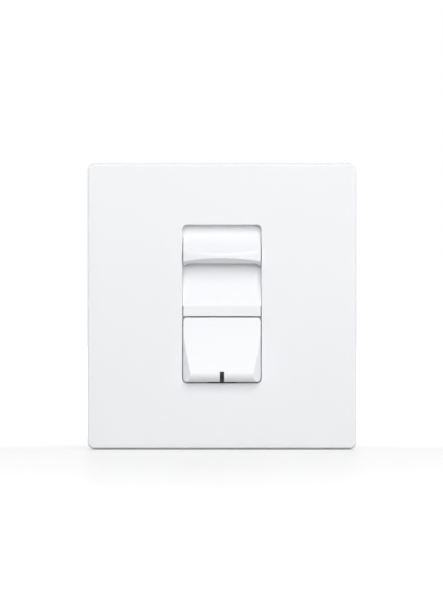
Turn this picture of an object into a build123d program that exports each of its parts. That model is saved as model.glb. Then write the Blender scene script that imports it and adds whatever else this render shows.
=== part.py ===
from build123d import *
from math import acos, asin, cos, radians, sin, sqrt, tan
import os

# Slide dimmer switch with a screwless wall plate, for one wall box.
# Millimetres. +X is to the right, +Z is up and -Y faces the room.
# The origin is the plate's centre on the wall, so the wall is the plane Y = 0.
# Distances called "front" are measured out from the wall, and "deep" ones into it.

# Wall plate
plate_width = 107.5
plate_height = 114.3
plate_depth = 7.6
plate_wall = 2.0
plate_side_wall = 2.2
plate_draft = 3.0
plate_corner_radius = 2.8
plate_edge_rounding = 0.9

# Opening in the wall plate and what shows in it
opening_width = 31.6
opening_top = 32.4
opening_bottom = -30.65
opening_corner_radius = 1.9
opening_rounding = 0.3
control_gap = 0.35
channel_side_gap = 0.1
hidden_gap = 0.3

# Hooks that clip the wall plate to the heat sink
hook_height = 30.0
hook_length = 10.0
hook_thickness = 1.3
hook_spring_gap = 0.6
hook_clearance = 0.25
hook_catch = 0.8
hook_nib = 0.7
hook_groove_clearance = 0.1

# Heat sink that carries everything
sink_thickness = 2.0
sink_end_gap = 1.5
sink_corner_radius = 4.0
sink_edge_rounding = 0.3

# How far a shape that trims another runs past it
trim_spare = 1.0

# Fit of screws in their threaded or plain holes
thread_gap = 0.04
screw_hole_gap = 0.2
driver_slot_width = 1.0
driver_slot_share = 0.5

# Screws to the wall box
box_screw_spacing = 83.3
box_screw_radius = 1.75
box_screw_neck_radius = 1.4
box_screw_length = 24.0
box_screw_head_radius = 3.4
box_screw_head_height = 1.9
box_screw_play = 2.8

# Bezel that holds the channel, the slider's guides and the paddle's hinge
bezel_half_width = 24.0
bezel_end_gap = 0.6
bezel_flange = 1.6
bezel_corner_radius = 2.0
guide_half_width = 18.0
guide_wall = 1.2
channel_depth = 4.4
channel_wall = 1.2
channel_flat_end = 22.0
strip_height = 4.05
channel_top_gap = 0.4
bezel_screw_inset = 2.6
bezel_screw_height = 20.0
bezel_screw_radius = 1.1
bezel_screw_head_radius = 2.0
bezel_screw_head_height = 1.3

# Slider knob
slider_travel = 12.0
slider_clearance = 0.35
scoop_depth = 3.4
knob_overlap = 0.8
crest_front = 4.0
crest_end_front = 1.8
crest_height = 19.0
crest_top_height = 20.8
knob_base_height = 16.1
knob_arch = 0.95
knob_arch_radius = 3.4
knob_foot = 0.45
knob_wing_clearance = 0.3
crest_spare = 0.4
crest_top_rounding = 1.6
crest_rounding = 0.6
knob_side_rounding = 0.3
leg_inset = 0.6
leg_thickness = 1.2
leg_bottom = 21.0
leg_top = 27.6
leg_slot_gap = 0.4

# Slider carriage behind the heat sink
carriage_gap = 0.4
carriage_thickness = 2.0
carriage_edge = 1.0
leg_socket_gap = 0.1

# Slide potentiometer
pot_can_width = 9.0
pot_can_sheet = 0.5
pot_can_gap = 1.4
pot_end_room = 1.4
lever_width = 4.0
lever_thickness = 1.2
lever_gap = 0.15
lever_base_width = 6.4
lever_base_height = 6.0
lever_base_thickness = 2.6
pot_track_thickness = 1.0
pot_wiper_thickness = 0.3
pot_wiper_width = 1.0
pot_running_gap = 0.15

# On/off paddle
paddle_top_gap = 0.45
paddle_bottom_gap = 0.5
paddle_lip = 0.9
paddle_proud = 6.3
paddle_side_slope = 35.0
paddle_under_rounding = 3.0
paddle_face_bulge = 0.75
paddle_wall = 1.3
paddle_corner_gap = 0.35
paddle_edge_rounding = 0.35
paddle_press_angle = 3.0
hinge_drop = 2.7
hinge_front = 4.0
hinge_pin_radius = 0.8
hinge_pin_gap = 0.06
hinge_pin_reach = 1.85
hinge_lug_radius = 1.7
ear_gap = 0.45
ear_height = 5.2
stop_lug_width = 5.0
stop_lug_reach = 1.3
stop_lug_thickness = 1.4
stop_lug_spread = 18.0
paddle_travel_gap = 0.4

# Locator lens and the lamp behind it
lens_width = 1.65
lens_top = -26.0
lens_fit = 0.02
lens_foot_width = 3.2
lens_foot_thickness = 0.9
lens_skirt = 0.9
led_radius = 1.5
led_base_radius = 1.8
led_base_height = 0.8
led_length = 5.0
led_height = -30.0

# Paddle springs on posts of the bezel
paddle_spring_spread = 20.0
paddle_spring_height = -24.5
paddle_spring_radius = 2.0
paddle_spring_wire = 0.4
paddle_spring_turns = 5.0
spring_seat_front = 1.6
spring_seat_radius = 2.5
spring_seat_gap = 0.03
spring_post_gap = 0.3
spring_post_height = 2.2
spring_floor = 0.8
spring_floor_gap = 0.95
spring_floor_window_gap = 0.6
spring_floor_window_top = -15.0

# Push switch worked by the paddle
switch_height = -23.0
switch_can_width = 12.0
switch_can_height = 10.0
switch_can_wall = 0.8
switch_can_gap = 3.4
plunger_radius = 1.9
plunger_gap = 0.2
plunger_front = 1.0
plunger_flange_radius = 3.1
plunger_flange = 1.0
paddle_post_radius = 2.0
paddle_post_gap = 0.2
bridge_length = 9.0
bridge_width = 4.6
bridge_thickness = 0.3
contact_gap = 0.2
contact_spread = 7.4
contact_thickness = 0.8
contact_width = 2.4
switch_spring_radius = 1.5
switch_spring_wire = 0.3
switch_spring_turns = 4.0
sink_window_gap = 1.2

# Back housing
housing_side_room = 3.1
housing_end_room = 3.9
housing_back_room = 3.9
housing_wall = 1.8
housing_corner_radius = 3.0
housing_screw_side_inset = 3.9
housing_screw_end_inset = 4.0
housing_screw_radius = 1.5
housing_screw_length = 12.0
housing_screw_head_radius = 2.7
housing_boss_radius = 3.0
board_ledge = 1.2
vent_count = 6
vent_width = 1.6
vent_length = 9.0
vent_pitch = 4.0

# Circuit board
board_deep = 11.2
board_thickness = 1.6
board_wall_gap = 0.7
board_notch_gap = 0.3
board_screw_side_step = 5.4
board_screw_end_step = 1.4
board_screw_radius = 1.1
board_screw_length = 7.0
board_screw_head_radius = 2.0
board_screw_head_height = 1.4
board_post_radius = 2.5
lead_radius = 0.35
lead_hole_gap = 0.1
lead_tail = 1.2

# Triac on the back of the heat sink
triac_x = -8.0
triac_top = 5.0
triac_width = 10.0
triac_tab_length = 15.4
triac_tab_thickness = 1.3
triac_body_length = 9.2
triac_body_thickness = 4.4
triac_hole_inset = 2.8
triac_hole_radius = 1.7
triac_lead_pitch = 2.54
triac_lead_drop = 2.6
insulator_thickness = 0.3
insulator_border = 1.2
triac_screw_radius = 1.5
triac_screw_head_radius = 2.6
triac_screw_head_height = 1.8

# Choke
choke_height = 13.0
choke_x = 0.0
choke_outer_radius = 8.6
choke_inner_radius = 4.6
choke_core_thickness = 6.0
choke_wire = 1.0
choke_turns = 24
choke_groove = 0.5
winding_gap = 0.02

# Capacitors, resistors and diac on the back of the board
filter_capacitor_size = (18.0, 7.0, 12.5)
filter_capacitor_x = 3.0
filter_capacitor_z = -6.0
timing_capacitor_size = (8.0, 4.0, 8.5)
timing_capacitor_x = -11.0
timing_capacitor_z = -25.0
capacitor_rounding = 0.6
resistor_length = 6.4
resistor_radius = 1.2
resistor_end_radius = 1.35
resistor_end_length = 1.5
resistor_lead_reach = 1.5
resistor_lift = 0.5
resistor_count = 3
resistor_pitch = 3.6
resistor_inset = 8.5
resistor_z = -20.0
diac_radius = 0.95
diac_end_radius = 1.05
diac_length = 4.0
diac_x = -11.0
diac_z = -20.0

# Screw terminals in side pockets of the housing
terminal_z = 12.0
pocket_height = 8.6
pocket_front = 16.0
pocket_length = 9.4
pocket_depth = 4.0
pocket_wall = 2.4
pocket_floor = 3.2
strip_thickness = 0.8
strip_width = 7.2
strip_slot_gap = 0.1
clamp_side = 7.4
clamp_thickness = 1.0
clamp_rounding = 0.6
terminal_screw_radius = 1.75
terminal_screw_head_radius = 3.2
terminal_screw_head_height = 1.8
terminal_screw_length = 3.4
strap_foot = 4.6
rivet_radius = 1.2
rivet_head_radius = 1.9
rivet_head_height = 0.7


def front(distance):
    """A plane parallel to the wall, this far in front of it, seen from the room."""
    return Plane.XZ.offset(distance)


def deep(distance):
    """A plane parallel to the wall, this far into it, seen from the room."""
    return Plane.XZ.offset(-distance)


def across(half_width):
    """The plane of a side view, this far to the left of the middle."""
    return Plane.YZ.offset(-half_width)


def save(piece, name):
    """Give a finished piece its name and write it to its own file."""
    piece.part.label = name
    export_step(piece.part, f"parts/{name}.step")


def screw(shank_radius, shank_length, head_radius, head_height):
    """A cheese-head screw: its head sits on the local XY plane, its shank hangs below it."""
    with BuildPart(mode=Mode.PRIVATE) as body:
        with BuildSketch(Plane.XY):
            Circle(head_radius)
        extrude(amount=head_height)
        head_edge = body.edges().filter_by(GeomType.CIRCLE).sort_by(Axis.Z)[-1]
        fillet(head_edge, radius=head_height / 4)
        with BuildSketch(Plane.XY):
            Circle(shank_radius)
        extrude(amount=-shank_length)
        tip_edge = body.edges().filter_by(GeomType.CIRCLE).sort_by(Axis.Z)[0]
        chamfer(tip_edge, length=shank_radius / 4)
        with BuildSketch(Plane.XY.offset(head_height)):
            Rectangle(2 * head_radius, driver_slot_width)
        extrude(amount=-head_height * driver_slot_share, mode=Mode.SUBTRACT)
    return body.part


def flat_screw(shank_radius, shank_length, head_radius):
    """A countersunk screw: the face of its head lies on the local XY plane."""
    cone_height = head_radius - shank_radius
    with BuildPart(mode=Mode.PRIVATE) as body:
        with BuildSketch(Plane.XZ):
            with BuildLine():
                Polyline(
                    (0, 0),
                    (head_radius, 0),
                    (shank_radius, -cone_height),
                    (shank_radius, -shank_length + shank_radius / 2),
                    (shank_radius / 2, -shank_length),
                    (0, -shank_length),
                    close=True,
                )
            make_face()
        revolve(axis=Axis.Z)
        with BuildSketch(Plane.XY):
            Rectangle(2 * head_radius, driver_slot_width * driver_slot_share)
        extrude(amount=-cone_height * driver_slot_share, mode=Mode.SUBTRACT)
    return body.part


def coil(radius, wire, turns, length):
    """A compression spring along local +Z, its wire's outside between 0 and length."""
    rise = length - wire
    path = Helix(pitch=rise / turns, height=rise, radius=radius).moved(Location((0, 0, wire / 2)))
    with BuildPart(mode=Mode.PRIVATE) as body:
        with BuildSketch(Plane(origin=path @ 0, z_dir=path % 0)):
            Circle(wire / 2)
        sweep(path=path, is_frenet=True)
    return body.part


os.makedirs("parts", exist_ok=True)

# Levels measured out from the wall
plate_inner = plate_depth - plate_wall
behind_plate = plate_inner - hidden_gap
sink_front = sink_thickness
channel_front = plate_depth - channel_depth
cavity_draft = plate_inner * tan(radians(plate_draft))

# Opening, and the width that the controls fill in it
opening_height = opening_top - opening_bottom
opening_centre = (opening_top + opening_bottom) / 2
control_half_width = opening_width / 2 - control_gap
channel_half_width = opening_width / 2 - channel_side_gap

# Wall plate: a shallow drafted tray with one opening and four clip hooks
hook_outer = plate_width / 2 - plate_side_wall - cavity_draft - hook_spring_gap
hook_inner = hook_outer - hook_thickness
sink_half_width = hook_inner - hook_clearance
nib_reach = hook_clearance + hook_catch
nib_level = sink_thickness / 2

with BuildPart() as face_plate:
    with BuildSketch(front(0)):
        RectangleRounded(plate_width, plate_height, plate_corner_radius)
    extrude(amount=plate_depth, taper=plate_draft)
    front_edges = face_plate.faces().sort_by(Axis.Y)[0].edges()
    fillet(front_edges, radius=plate_edge_rounding)
    with BuildSketch(front(0)):
        RectangleRounded(
            plate_width - 2 * plate_side_wall,
            plate_height - 2 * plate_side_wall,
            max(plate_corner_radius - plate_side_wall, 0.4),
        )
    extrude(amount=plate_inner, taper=plate_draft, mode=Mode.SUBTRACT)
    with BuildSketch(front(plate_depth)) as opening_outline:
        with Locations((0, opening_centre)):
            RectangleRounded(opening_width, opening_height, opening_corner_radius)
    extrude(amount=-plate_wall, mode=Mode.SUBTRACT)
    rim = face_plate.faces().sort_by(Axis.Y)[0].inner_wires()[0].edges()
    fillet(rim, radius=opening_rounding)
    with BuildSketch(front(hidden_gap)) as hook_arms:
        with GridLocations(hook_inner + hook_outer, 2 * hook_height, 2, 2):
            Rectangle(hook_thickness, hook_length)
    extrude(amount=plate_inner - hidden_gap)
    with BuildSketch(front(nib_level - hook_nib / 2)) as hook_nibs:
        with GridLocations(2 * hook_inner - nib_reach, 2 * hook_height, 2, 2):
            Rectangle(nib_reach, hook_length)
    extrude(amount=hook_nib)
save(face_plate, "face_plate")

# Outline of the back housing: around the slider's carriage and between the box screws
leg_inner = opening_width / 2 + leg_inset
carriage_half_width = leg_inner + leg_thickness + carriage_edge
housing_width = 2 * (carriage_half_width + housing_side_room + housing_wall)
housing_height = box_screw_spacing - 2 * (box_screw_radius + housing_end_room)
board_back = board_deep + board_thickness
housing_depth = board_back + filter_capacitor_size[2] + housing_back_room + housing_wall
housing_screw_x = housing_width / 2 - housing_screw_side_inset
housing_screw_z = housing_height / 2 - housing_screw_end_inset
board_screw_x = housing_screw_x - board_screw_side_step
board_screw_z = housing_screw_z - board_screw_end_step

# Heat sink: a plain aluminium plate with its holes, slots and hook grooves
sink_height = plate_height - 2 * (plate_side_wall + cavity_draft + sink_end_gap)
leg_centre = leg_inner + leg_thickness / 2
leg_slot_width = leg_thickness + 2 * leg_slot_gap
leg_slot_top = leg_top + leg_slot_gap
leg_slot_bottom = leg_bottom - slider_travel - leg_slot_gap
leg_slot_height = leg_slot_top - leg_slot_bottom
leg_slot_centre = (leg_slot_top + leg_slot_bottom) / 2
window_half_width = paddle_post_radius + 3 * sink_window_gap
window_top = switch_height + paddle_post_radius + sink_window_gap
window_bottom = led_height - led_radius - sink_window_gap / 2
groove_height = hook_nib + 2 * hook_groove_clearance
groove_depth = hook_catch + hook_groove_clearance
bezel_screw_x = bezel_half_width - bezel_screw_inset
triac_hole_z = triac_top - triac_hole_inset
pocket_floor_x = housing_width / 2 - pocket_depth
rivet_x = strap_foot / 2 - pocket_floor_x

with BuildPart() as heat_sink:
    with BuildSketch(front(0)):
        RectangleRounded(2 * sink_half_width, sink_height, sink_corner_radius)
    extrude(amount=sink_thickness)
    front_rim = heat_sink.faces().sort_by(Axis.Y)[0].edges()
    fillet(front_rim, radius=sink_edge_rounding)
    with BuildSketch(front(0)) as box_screw_slots:
        with GridLocations(0, box_screw_spacing, 1, 2):
            slot_width = 2 * (box_screw_radius + screw_hole_gap)
            SlotOverall(slot_width + box_screw_play, slot_width)
    extrude(amount=sink_thickness, mode=Mode.SUBTRACT)
    with BuildSketch(front(0)) as leg_slots:
        with Locations((-leg_centre, leg_slot_centre), (leg_centre, leg_slot_centre)):
            Rectangle(leg_slot_width, leg_slot_height)
    extrude(amount=sink_thickness, mode=Mode.SUBTRACT)
    with BuildSketch(front(0)) as switch_window:
        with Locations((0, (window_top + window_bottom) / 2)):
            RectangleRounded(2 * window_half_width, window_top - window_bottom, 1.0)
    extrude(amount=sink_thickness, mode=Mode.SUBTRACT)
    with Locations(front(sink_front)):
        with GridLocations(2 * housing_screw_x, 2 * housing_screw_z, 2, 2):
            CounterSinkHole(
                radius=housing_screw_radius + screw_hole_gap,
                counter_sink_radius=housing_screw_head_radius + thread_gap,
                depth=sink_thickness,
                counter_sink_angle=90,
            )
        with GridLocations(2 * bezel_screw_x, 2 * bezel_screw_height, 2, 2):
            Hole(radius=bezel_screw_radius + thread_gap, depth=sink_thickness)
        with Locations((triac_x, triac_hole_z)):
            Hole(radius=triac_screw_radius + thread_gap, depth=sink_thickness)
        with Locations((rivet_x, -terminal_z)):
            CounterSinkHole(
                radius=rivet_radius + thread_gap,
                counter_sink_radius=rivet_head_radius + thread_gap,
                depth=sink_thickness,
                counter_sink_angle=90,
            )
    with BuildSketch(front(nib_level - groove_height / 2)) as hook_grooves:
        with GridLocations(2 * sink_half_width - groove_depth, 2 * hook_height, 2, 2):
            Rectangle(groove_depth, hook_length + 4 * hook_groove_clearance)
    extrude(amount=groove_height, mode=Mode.SUBTRACT)
save(heat_sink, "heat_sink")

# Box screws: their thread starts behind the wall plane, and a thinner neck hangs in the heat sink
box_screw = screw(box_screw_radius, box_screw_length, box_screw_head_radius, box_screw_head_height)
with BuildPart() as box_screws:
    with Locations(front(sink_front)):
        with GridLocations(0, box_screw_spacing, 1, 2):
            add(box_screw)
    with BuildSketch(front(sink_front)) as around_necks:
        with GridLocations(0, box_screw_spacing, 1, 2):
            Circle(box_screw_radius)
            Circle(box_screw_neck_radius, mode=Mode.SUBTRACT)
    extrude(amount=-sink_thickness, mode=Mode.SUBTRACT)
save(box_screws, "box_screws")

# Channel: flat at the top, then an arc that rises to the face of the wall plate at height 0
channel_radius = (channel_flat_end**2 + channel_depth**2) / (2 * channel_depth)
channel_arc_angle = asin(channel_flat_end / channel_radius)
channel_top = opening_top + knob_overlap + channel_top_gap
strip_bottom = -strip_height


def channel_curve(gap):
    """The channel's curved floor as three points (Y, Z), this far in front of it."""
    radius = channel_radius - gap
    centre_front = channel_front + channel_radius
    middle = channel_arc_angle / 2
    start = (-channel_front - gap, channel_flat_end)
    half = (-centre_front + radius * cos(middle), channel_flat_end - radius * sin(middle))
    end_angle = channel_arc_angle
    end = (-centre_front + radius * cos(end_angle), channel_flat_end - radius * sin(end_angle))
    return start, half, end


bezel_half_height = box_screw_spacing / 2 - box_screw_head_radius - bezel_end_gap
paddle_bottom = opening_bottom + paddle_bottom_gap
rim_bottom = paddle_bottom - stop_lug_reach - paddle_travel_gap
rim_height = channel_top - rim_bottom
rim_centre = (channel_top + rim_bottom) / 2
hinge_z = strip_bottom - hinge_drop
ear_inner = control_half_width + ear_gap
skirt_inner = control_half_width - paddle_wall
spring_floor_bottom = paddle_bottom + paddle_wall + paddle_travel_gap
spring_post_radius = paddle_spring_radius - paddle_spring_wire / 2 - spring_post_gap

with BuildPart() as control_bezel:
    with BuildSketch(front(sink_front)) as flange:
        RectangleRounded(2 * bezel_half_width, 2 * bezel_half_height, bezel_corner_radius)
    extrude(amount=bezel_flange)
    with BuildSketch(front(sink_front)) as guide_rim:
        with Locations((0, rim_centre)):
            Rectangle(2 * (guide_half_width + guide_wall), rim_height + 2 * guide_wall)
    extrude(amount=behind_plate - sink_front)
    with BuildSketch(front(sink_front)) as inside_of_rim:
        with Locations((0, rim_centre)):
            Rectangle(2 * guide_half_width, rim_height)
    extrude(amount=behind_plate - sink_front, mode=Mode.SUBTRACT)
    with BuildSketch(front(sink_front)) as hinge_ears:
        ear_centre = (ear_inner + guide_half_width) / 2
        with Locations((-ear_centre, hinge_z), (ear_centre, hinge_z)):
            Rectangle(guide_half_width - ear_inner, ear_height)
    extrude(amount=behind_plate - sink_front)
    with BuildSketch(front(sink_front)) as spring_floor_outline:
        floor_height = strip_bottom - spring_floor_bottom
        with Locations((0, (strip_bottom + spring_floor_bottom) / 2)):
            Rectangle(2 * (skirt_inner - spring_floor_gap), floor_height)
        window_height = spring_floor_window_top - spring_floor_bottom
        window_width = 2 * (window_half_width + spring_floor_window_gap)
        with Locations((0, (spring_floor_window_top + spring_floor_bottom) / 2)):
            Rectangle(window_width, window_height, mode=Mode.SUBTRACT)
    extrude(amount=spring_floor)
    with BuildSketch(front(sink_front)) as spring_posts:
        with Locations((0, paddle_spring_height)):
            with GridLocations(paddle_spring_spread, 0, 2, 1):
                Circle(spring_post_radius)
    extrude(amount=spring_floor + spring_post_height)

with BuildPart() as channel:
    with BuildSketch(across(guide_half_width)) as channel_section:
        with BuildLine():
            start, half, end = channel_curve(0)
            ThreePointArc(start, half, end)
            Polyline(
                end,
                (-plate_depth, strip_bottom),
                (-sink_front, strip_bottom),
                (-sink_front, channel_top),
                (-channel_front, channel_top),
                start,
            )
        make_face()
    extrude(amount=2 * guide_half_width)
    with BuildSketch(front(behind_plate)) as beside_opening:
        Rectangle(4 * guide_half_width, 4 * plate_height)
        Rectangle(2 * control_half_width, 4 * plate_height, mode=Mode.SUBTRACT)
        with Locations((0, channel_top / 2)):
            Rectangle(2 * channel_half_width, channel_top, mode=Mode.SUBTRACT)
    extrude(amount=plate_depth, mode=Mode.SUBTRACT)
    with BuildSketch(across(control_half_width - channel_wall)) as channel_hollow:
        with BuildLine():
            start, half, end = channel_curve(-channel_wall)
            hollow_end = (end[0], strip_bottom + channel_wall)
            ThreePointArc(start, half, end)
            Polyline(end, hollow_end, (start[0], hollow_end[1]), start)
        make_face()
    extrude(amount=2 * (control_half_width - channel_wall), mode=Mode.SUBTRACT)
    with BuildSketch(front(sink_front)) as leg_slots_in_channel:
        with Locations((-leg_centre, leg_slot_centre), (leg_centre, leg_slot_centre)):
            Rectangle(leg_slot_width, leg_slot_height)
    extrude(amount=plate_depth, mode=Mode.SUBTRACT)

with BuildPart() as finished_bezel:
    add(control_bezel.part)
    add(channel.part)
    strip_rim = finished_bezel.faces().filter_by(Axis.Y).sort_by(Axis.Y)[0].edges()
    side_edges = strip_rim.filter_by(Axis.Z)
    lower_edge = strip_rim.filter_by(Axis.X).sort_by(Axis.Z)[0]
    fillet(side_edges + [lower_edge], radius=opening_rounding)
    with BuildSketch(across(guide_half_width + guide_wall)) as hinge_bore:
        with Locations((-hinge_front, hinge_z)):
            Circle(hinge_pin_radius + hinge_pin_gap)
    extrude(amount=2 * (guide_half_width + guide_wall), mode=Mode.SUBTRACT)
    with Locations(front(sink_front + bezel_flange)):
        with GridLocations(2 * bezel_screw_x, 2 * bezel_screw_height, 2, 2):
            Hole(radius=bezel_screw_radius + screw_hole_gap, depth=bezel_flange)
save(finished_bezel, "control_bezel")

bezel_screw = screw(
    bezel_screw_radius,
    bezel_flange + sink_thickness,
    bezel_screw_head_radius,
    bezel_screw_head_height,
)
with BuildPart() as bezel_screws:
    with Locations(front(sink_front + bezel_flange)):
        with GridLocations(2 * bezel_screw_x, 2 * bezel_screw_height, 2, 2):
            add(bezel_screw)
save(bezel_screws, "bezel_screws")

# Slider knob: a concave scoop that rises to a crest, with wings and legs behind the wall plate
knob_top = opening_top + knob_overlap
scoop_front = plate_depth - scoop_depth
crest_level = plate_depth + crest_front
scoop_out = crest_level - scoop_front
scoop_drop = knob_top - crest_top_height
scoop_radius = (scoop_out**2 + scoop_drop**2) / (2 * scoop_out)
scoop_angle = acos(1 - (scoop_out + crest_spare) / scoop_radius)


def channel_front_at(height):
    """How far the channel's floor stands out from the wall at a height."""
    drop = min(max(channel_flat_end - height, 0), channel_flat_end)
    return channel_front + channel_radius - sqrt(channel_radius**2 - drop**2)


knob_base_front = channel_front_at(knob_base_height - slider_travel) + slider_clearance
knob_back_front = channel_front_at(knob_top - slider_travel) + slider_clearance
knob_back_middle = (knob_base_height + knob_top) / 2
knob_middle_front = channel_front_at(knob_back_middle - slider_travel) + slider_clearance
crest_end_level = plate_depth + crest_end_front
underside_slope = (crest_height - knob_base_height) / (crest_level - knob_base_front)

arch_rise_width = sqrt(knob_arch_radius**2 - (knob_arch_radius - knob_arch) ** 2)
arch_half_width = control_half_width - knob_foot - arch_rise_width + knob_arch_radius
arch_half_height = knob_arch_radius + trim_spare

wing_half_width = guide_half_width - knob_wing_clearance

with BuildPart() as slider_knob:
    with BuildSketch(across(wing_half_width)) as knob_section:
        with BuildLine():
            scoop_start = (-scoop_front, knob_top)
            scoop_half = (
                -scoop_front - scoop_radius * (1 - cos(scoop_angle / 2)),
                knob_top - scoop_radius * sin(scoop_angle / 2),
            )
            scoop_end = (
                -crest_level - crest_spare,
                knob_top - scoop_radius * sin(scoop_angle),
            )
            underside_end = (-crest_level - crest_spare, crest_height + crest_spare * underside_slope)
            base = (-knob_base_front, knob_base_height)
            back_top = (-knob_back_front, knob_top)
            ThreePointArc(scoop_start, scoop_half, scoop_end)
            Polyline(scoop_end, underside_end, base)
            ThreePointArc(base, (-knob_middle_front, knob_back_middle), back_top)
            Line(back_top, scoop_start)
        make_face()
    extrude(amount=2 * wing_half_width)
    with BuildSketch(front(behind_plate)) as knob_sides:
        Rectangle(4 * guide_half_width, 4 * plate_height)
        Rectangle(2 * control_half_width, 4 * plate_height, mode=Mode.SUBTRACT)
    extrude(amount=plate_depth, mode=Mode.SUBTRACT)
    with BuildSketch(Plane.XY.offset(knob_base_height - trim_spare)) as bowed_front:
        with BuildLine():
            left = (-control_half_width, -crest_end_level)
            right = (control_half_width, -crest_end_level)
            ThreePointArc(left, (0, -crest_level), right)
            Polyline(
                right,
                (2 * guide_half_width, right[1]),
                (2 * guide_half_width, 0),
                (-2 * guide_half_width, 0),
                (-2 * guide_half_width, left[1]),
                left,
            )
        make_face()
    extrude(amount=knob_top - knob_base_height + 2 * trim_spare, mode=Mode.INTERSECT)
    crest_face = slider_knob.faces().filter_by(GeomType.CYLINDER).sort_by(Axis.Y)[0]
    fillet(crest_face.edges().sort_by(Axis.Z)[-1], radius=crest_top_rounding)
    crest_face = slider_knob.faces().filter_by(GeomType.CYLINDER).sort_by(Axis.Y)[0]
    fillet(crest_face.edges().sort_by(Axis.Z)[0], radius=crest_rounding)
    side_edges = slider_knob.edges().filter_by(
        lambda edge: abs(edge.center().X) > control_half_width - knob_side_rounding
        and edge.bounding_box().min.Y < -knob_base_front - crest_end_front
    )
    fillet(side_edges, radius=knob_side_rounding)
    with BuildSketch(front(behind_plate)) as arch_between_feet:
        with Locations((0, knob_base_height + knob_arch - arch_half_height)):
            RectangleRounded(2 * arch_half_width, 2 * arch_half_height, knob_arch_radius)
    extrude(amount=crest_level, both=True, mode=Mode.SUBTRACT)
    with BuildSketch(front(behind_plate)) as legs:
        with Locations(
            (-leg_centre, (leg_top + leg_bottom) / 2), (leg_centre, (leg_top + leg_bottom) / 2)
        ):
            Rectangle(leg_thickness, leg_top - leg_bottom)
    extrude(amount=-(behind_plate + carriage_gap + carriage_thickness))
save(slider_knob, "slider_knob")

# Slider carriage: a bar behind the heat sink that the knob's legs snap into
leg_middle = (leg_top + leg_bottom) / 2
carriage_height = leg_top - leg_bottom + 2 * carriage_edge

with BuildPart() as slider_carriage:
    with BuildSketch(deep(carriage_gap)):
        with Locations((0, leg_middle)):
            RectangleRounded(2 * carriage_half_width, carriage_height, carriage_edge / 2)
            with GridLocations(2 * leg_centre, 0, 2, 1):
                Rectangle(
                    leg_thickness + 2 * leg_socket_gap,
                    leg_top - leg_bottom + 2 * leg_socket_gap,
                    mode=Mode.SUBTRACT,
                )
            Rectangle(
                lever_thickness + 2 * lever_gap, lever_width + 2 * lever_gap, mode=Mode.SUBTRACT
            )
    extrude(amount=-carriage_thickness)
save(slider_carriage, "slider_carriage")

# Slide potentiometer on the front of the circuit board
pot_front = carriage_gap + carriage_thickness + pot_can_gap
lever_slot_top = leg_middle + lever_width / 2 + lever_gap
lever_slot_bottom = leg_middle - slider_travel - lever_width / 2 - lever_gap
pot_middle = (lever_slot_top + lever_slot_bottom) / 2
pot_inner_height = slider_travel + lever_base_height + 2 * pot_end_room
pot_height = pot_inner_height + 2 * pot_can_sheet
pot_depth = board_deep - pot_front
track_face = board_deep - pot_track_thickness
wiper_face = track_face - pot_running_gap

with BuildPart() as slide_pot_can:
    with BuildSketch(deep(board_deep)):
        with Locations((0, pot_middle)):
            Rectangle(pot_can_width, pot_height)
    extrude(amount=pot_depth)
    with BuildSketch(deep(board_deep)):
        with Locations((0, pot_middle)):
            Rectangle(pot_can_width - 2 * pot_can_sheet, pot_inner_height)
    extrude(amount=pot_depth - pot_can_sheet, mode=Mode.SUBTRACT)
    with BuildSketch(deep(pot_front)):
        with Locations((0, pot_middle)):
            Rectangle(lever_thickness + 4 * lever_gap, lever_slot_top - lever_slot_bottom + lever_gap)
    extrude(amount=-pot_can_sheet, mode=Mode.SUBTRACT)
save(slide_pot_can, "slide_pot_can")

with BuildPart() as slide_pot_track:
    with BuildSketch(deep(board_deep)):
        with Locations((0, pot_middle)):
            Rectangle(
                pot_can_width - 2 * pot_can_sheet - 2 * thread_gap,
                pot_inner_height - 2 * thread_gap,
            )
    extrude(amount=pot_track_thickness)
save(slide_pot_track, "slide_pot_track")

lever_base_front = wiper_face - pot_wiper_thickness - lever_base_thickness
with BuildPart() as slide_pot_lever:
    with BuildSketch(deep(wiper_face - pot_wiper_thickness)):
        with Locations((0, leg_middle)):
            Rectangle(lever_base_width, lever_base_height)
    extrude(amount=lever_base_thickness)
    with BuildSketch(deep(lever_base_front)):
        with Locations((0, leg_middle)):
            Rectangle(lever_thickness, lever_width)
    extrude(amount=lever_base_front - carriage_gap - lever_gap)
save(slide_pot_lever, "slide_pot_lever")

with BuildPart() as slide_pot_wiper:
    with BuildSketch(deep(wiper_face)):
        with Locations((0, leg_middle)):
            with GridLocations(lever_base_width - 2 * pot_wiper_width, 0, 2, 1):
                Rectangle(pot_wiper_width, lever_base_height - pot_wiper_width)
            Rectangle(lever_base_width - pot_wiper_width, pot_wiper_width)
    extrude(amount=pot_wiper_thickness)
save(slide_pot_wiper, "slide_pot_wiper")

# On/off paddle: a hollow wedge with a lip, sloped sides and a slightly hollow face
paddle_top = strip_bottom - paddle_top_gap
paddle_height = paddle_top - paddle_bottom
paddle_middle = (paddle_top + paddle_bottom) / 2
paddle_corner = opening_corner_radius - paddle_corner_gap
slope_level = plate_depth + paddle_lip
face_level = plate_depth + paddle_proud
paddle_middle_front = plate_depth + paddle_proud / 2
press_travel = (hinge_z - paddle_bottom) * tan(radians(paddle_press_angle))
skirt_back = sink_front + press_travel + paddle_travel_gap


def paddle_front_at(height):
    """Roughly how far the paddle's face stands out from the wall at a height."""
    return plate_depth + paddle_proud * (paddle_top - height) / paddle_height - paddle_face_bulge


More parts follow.
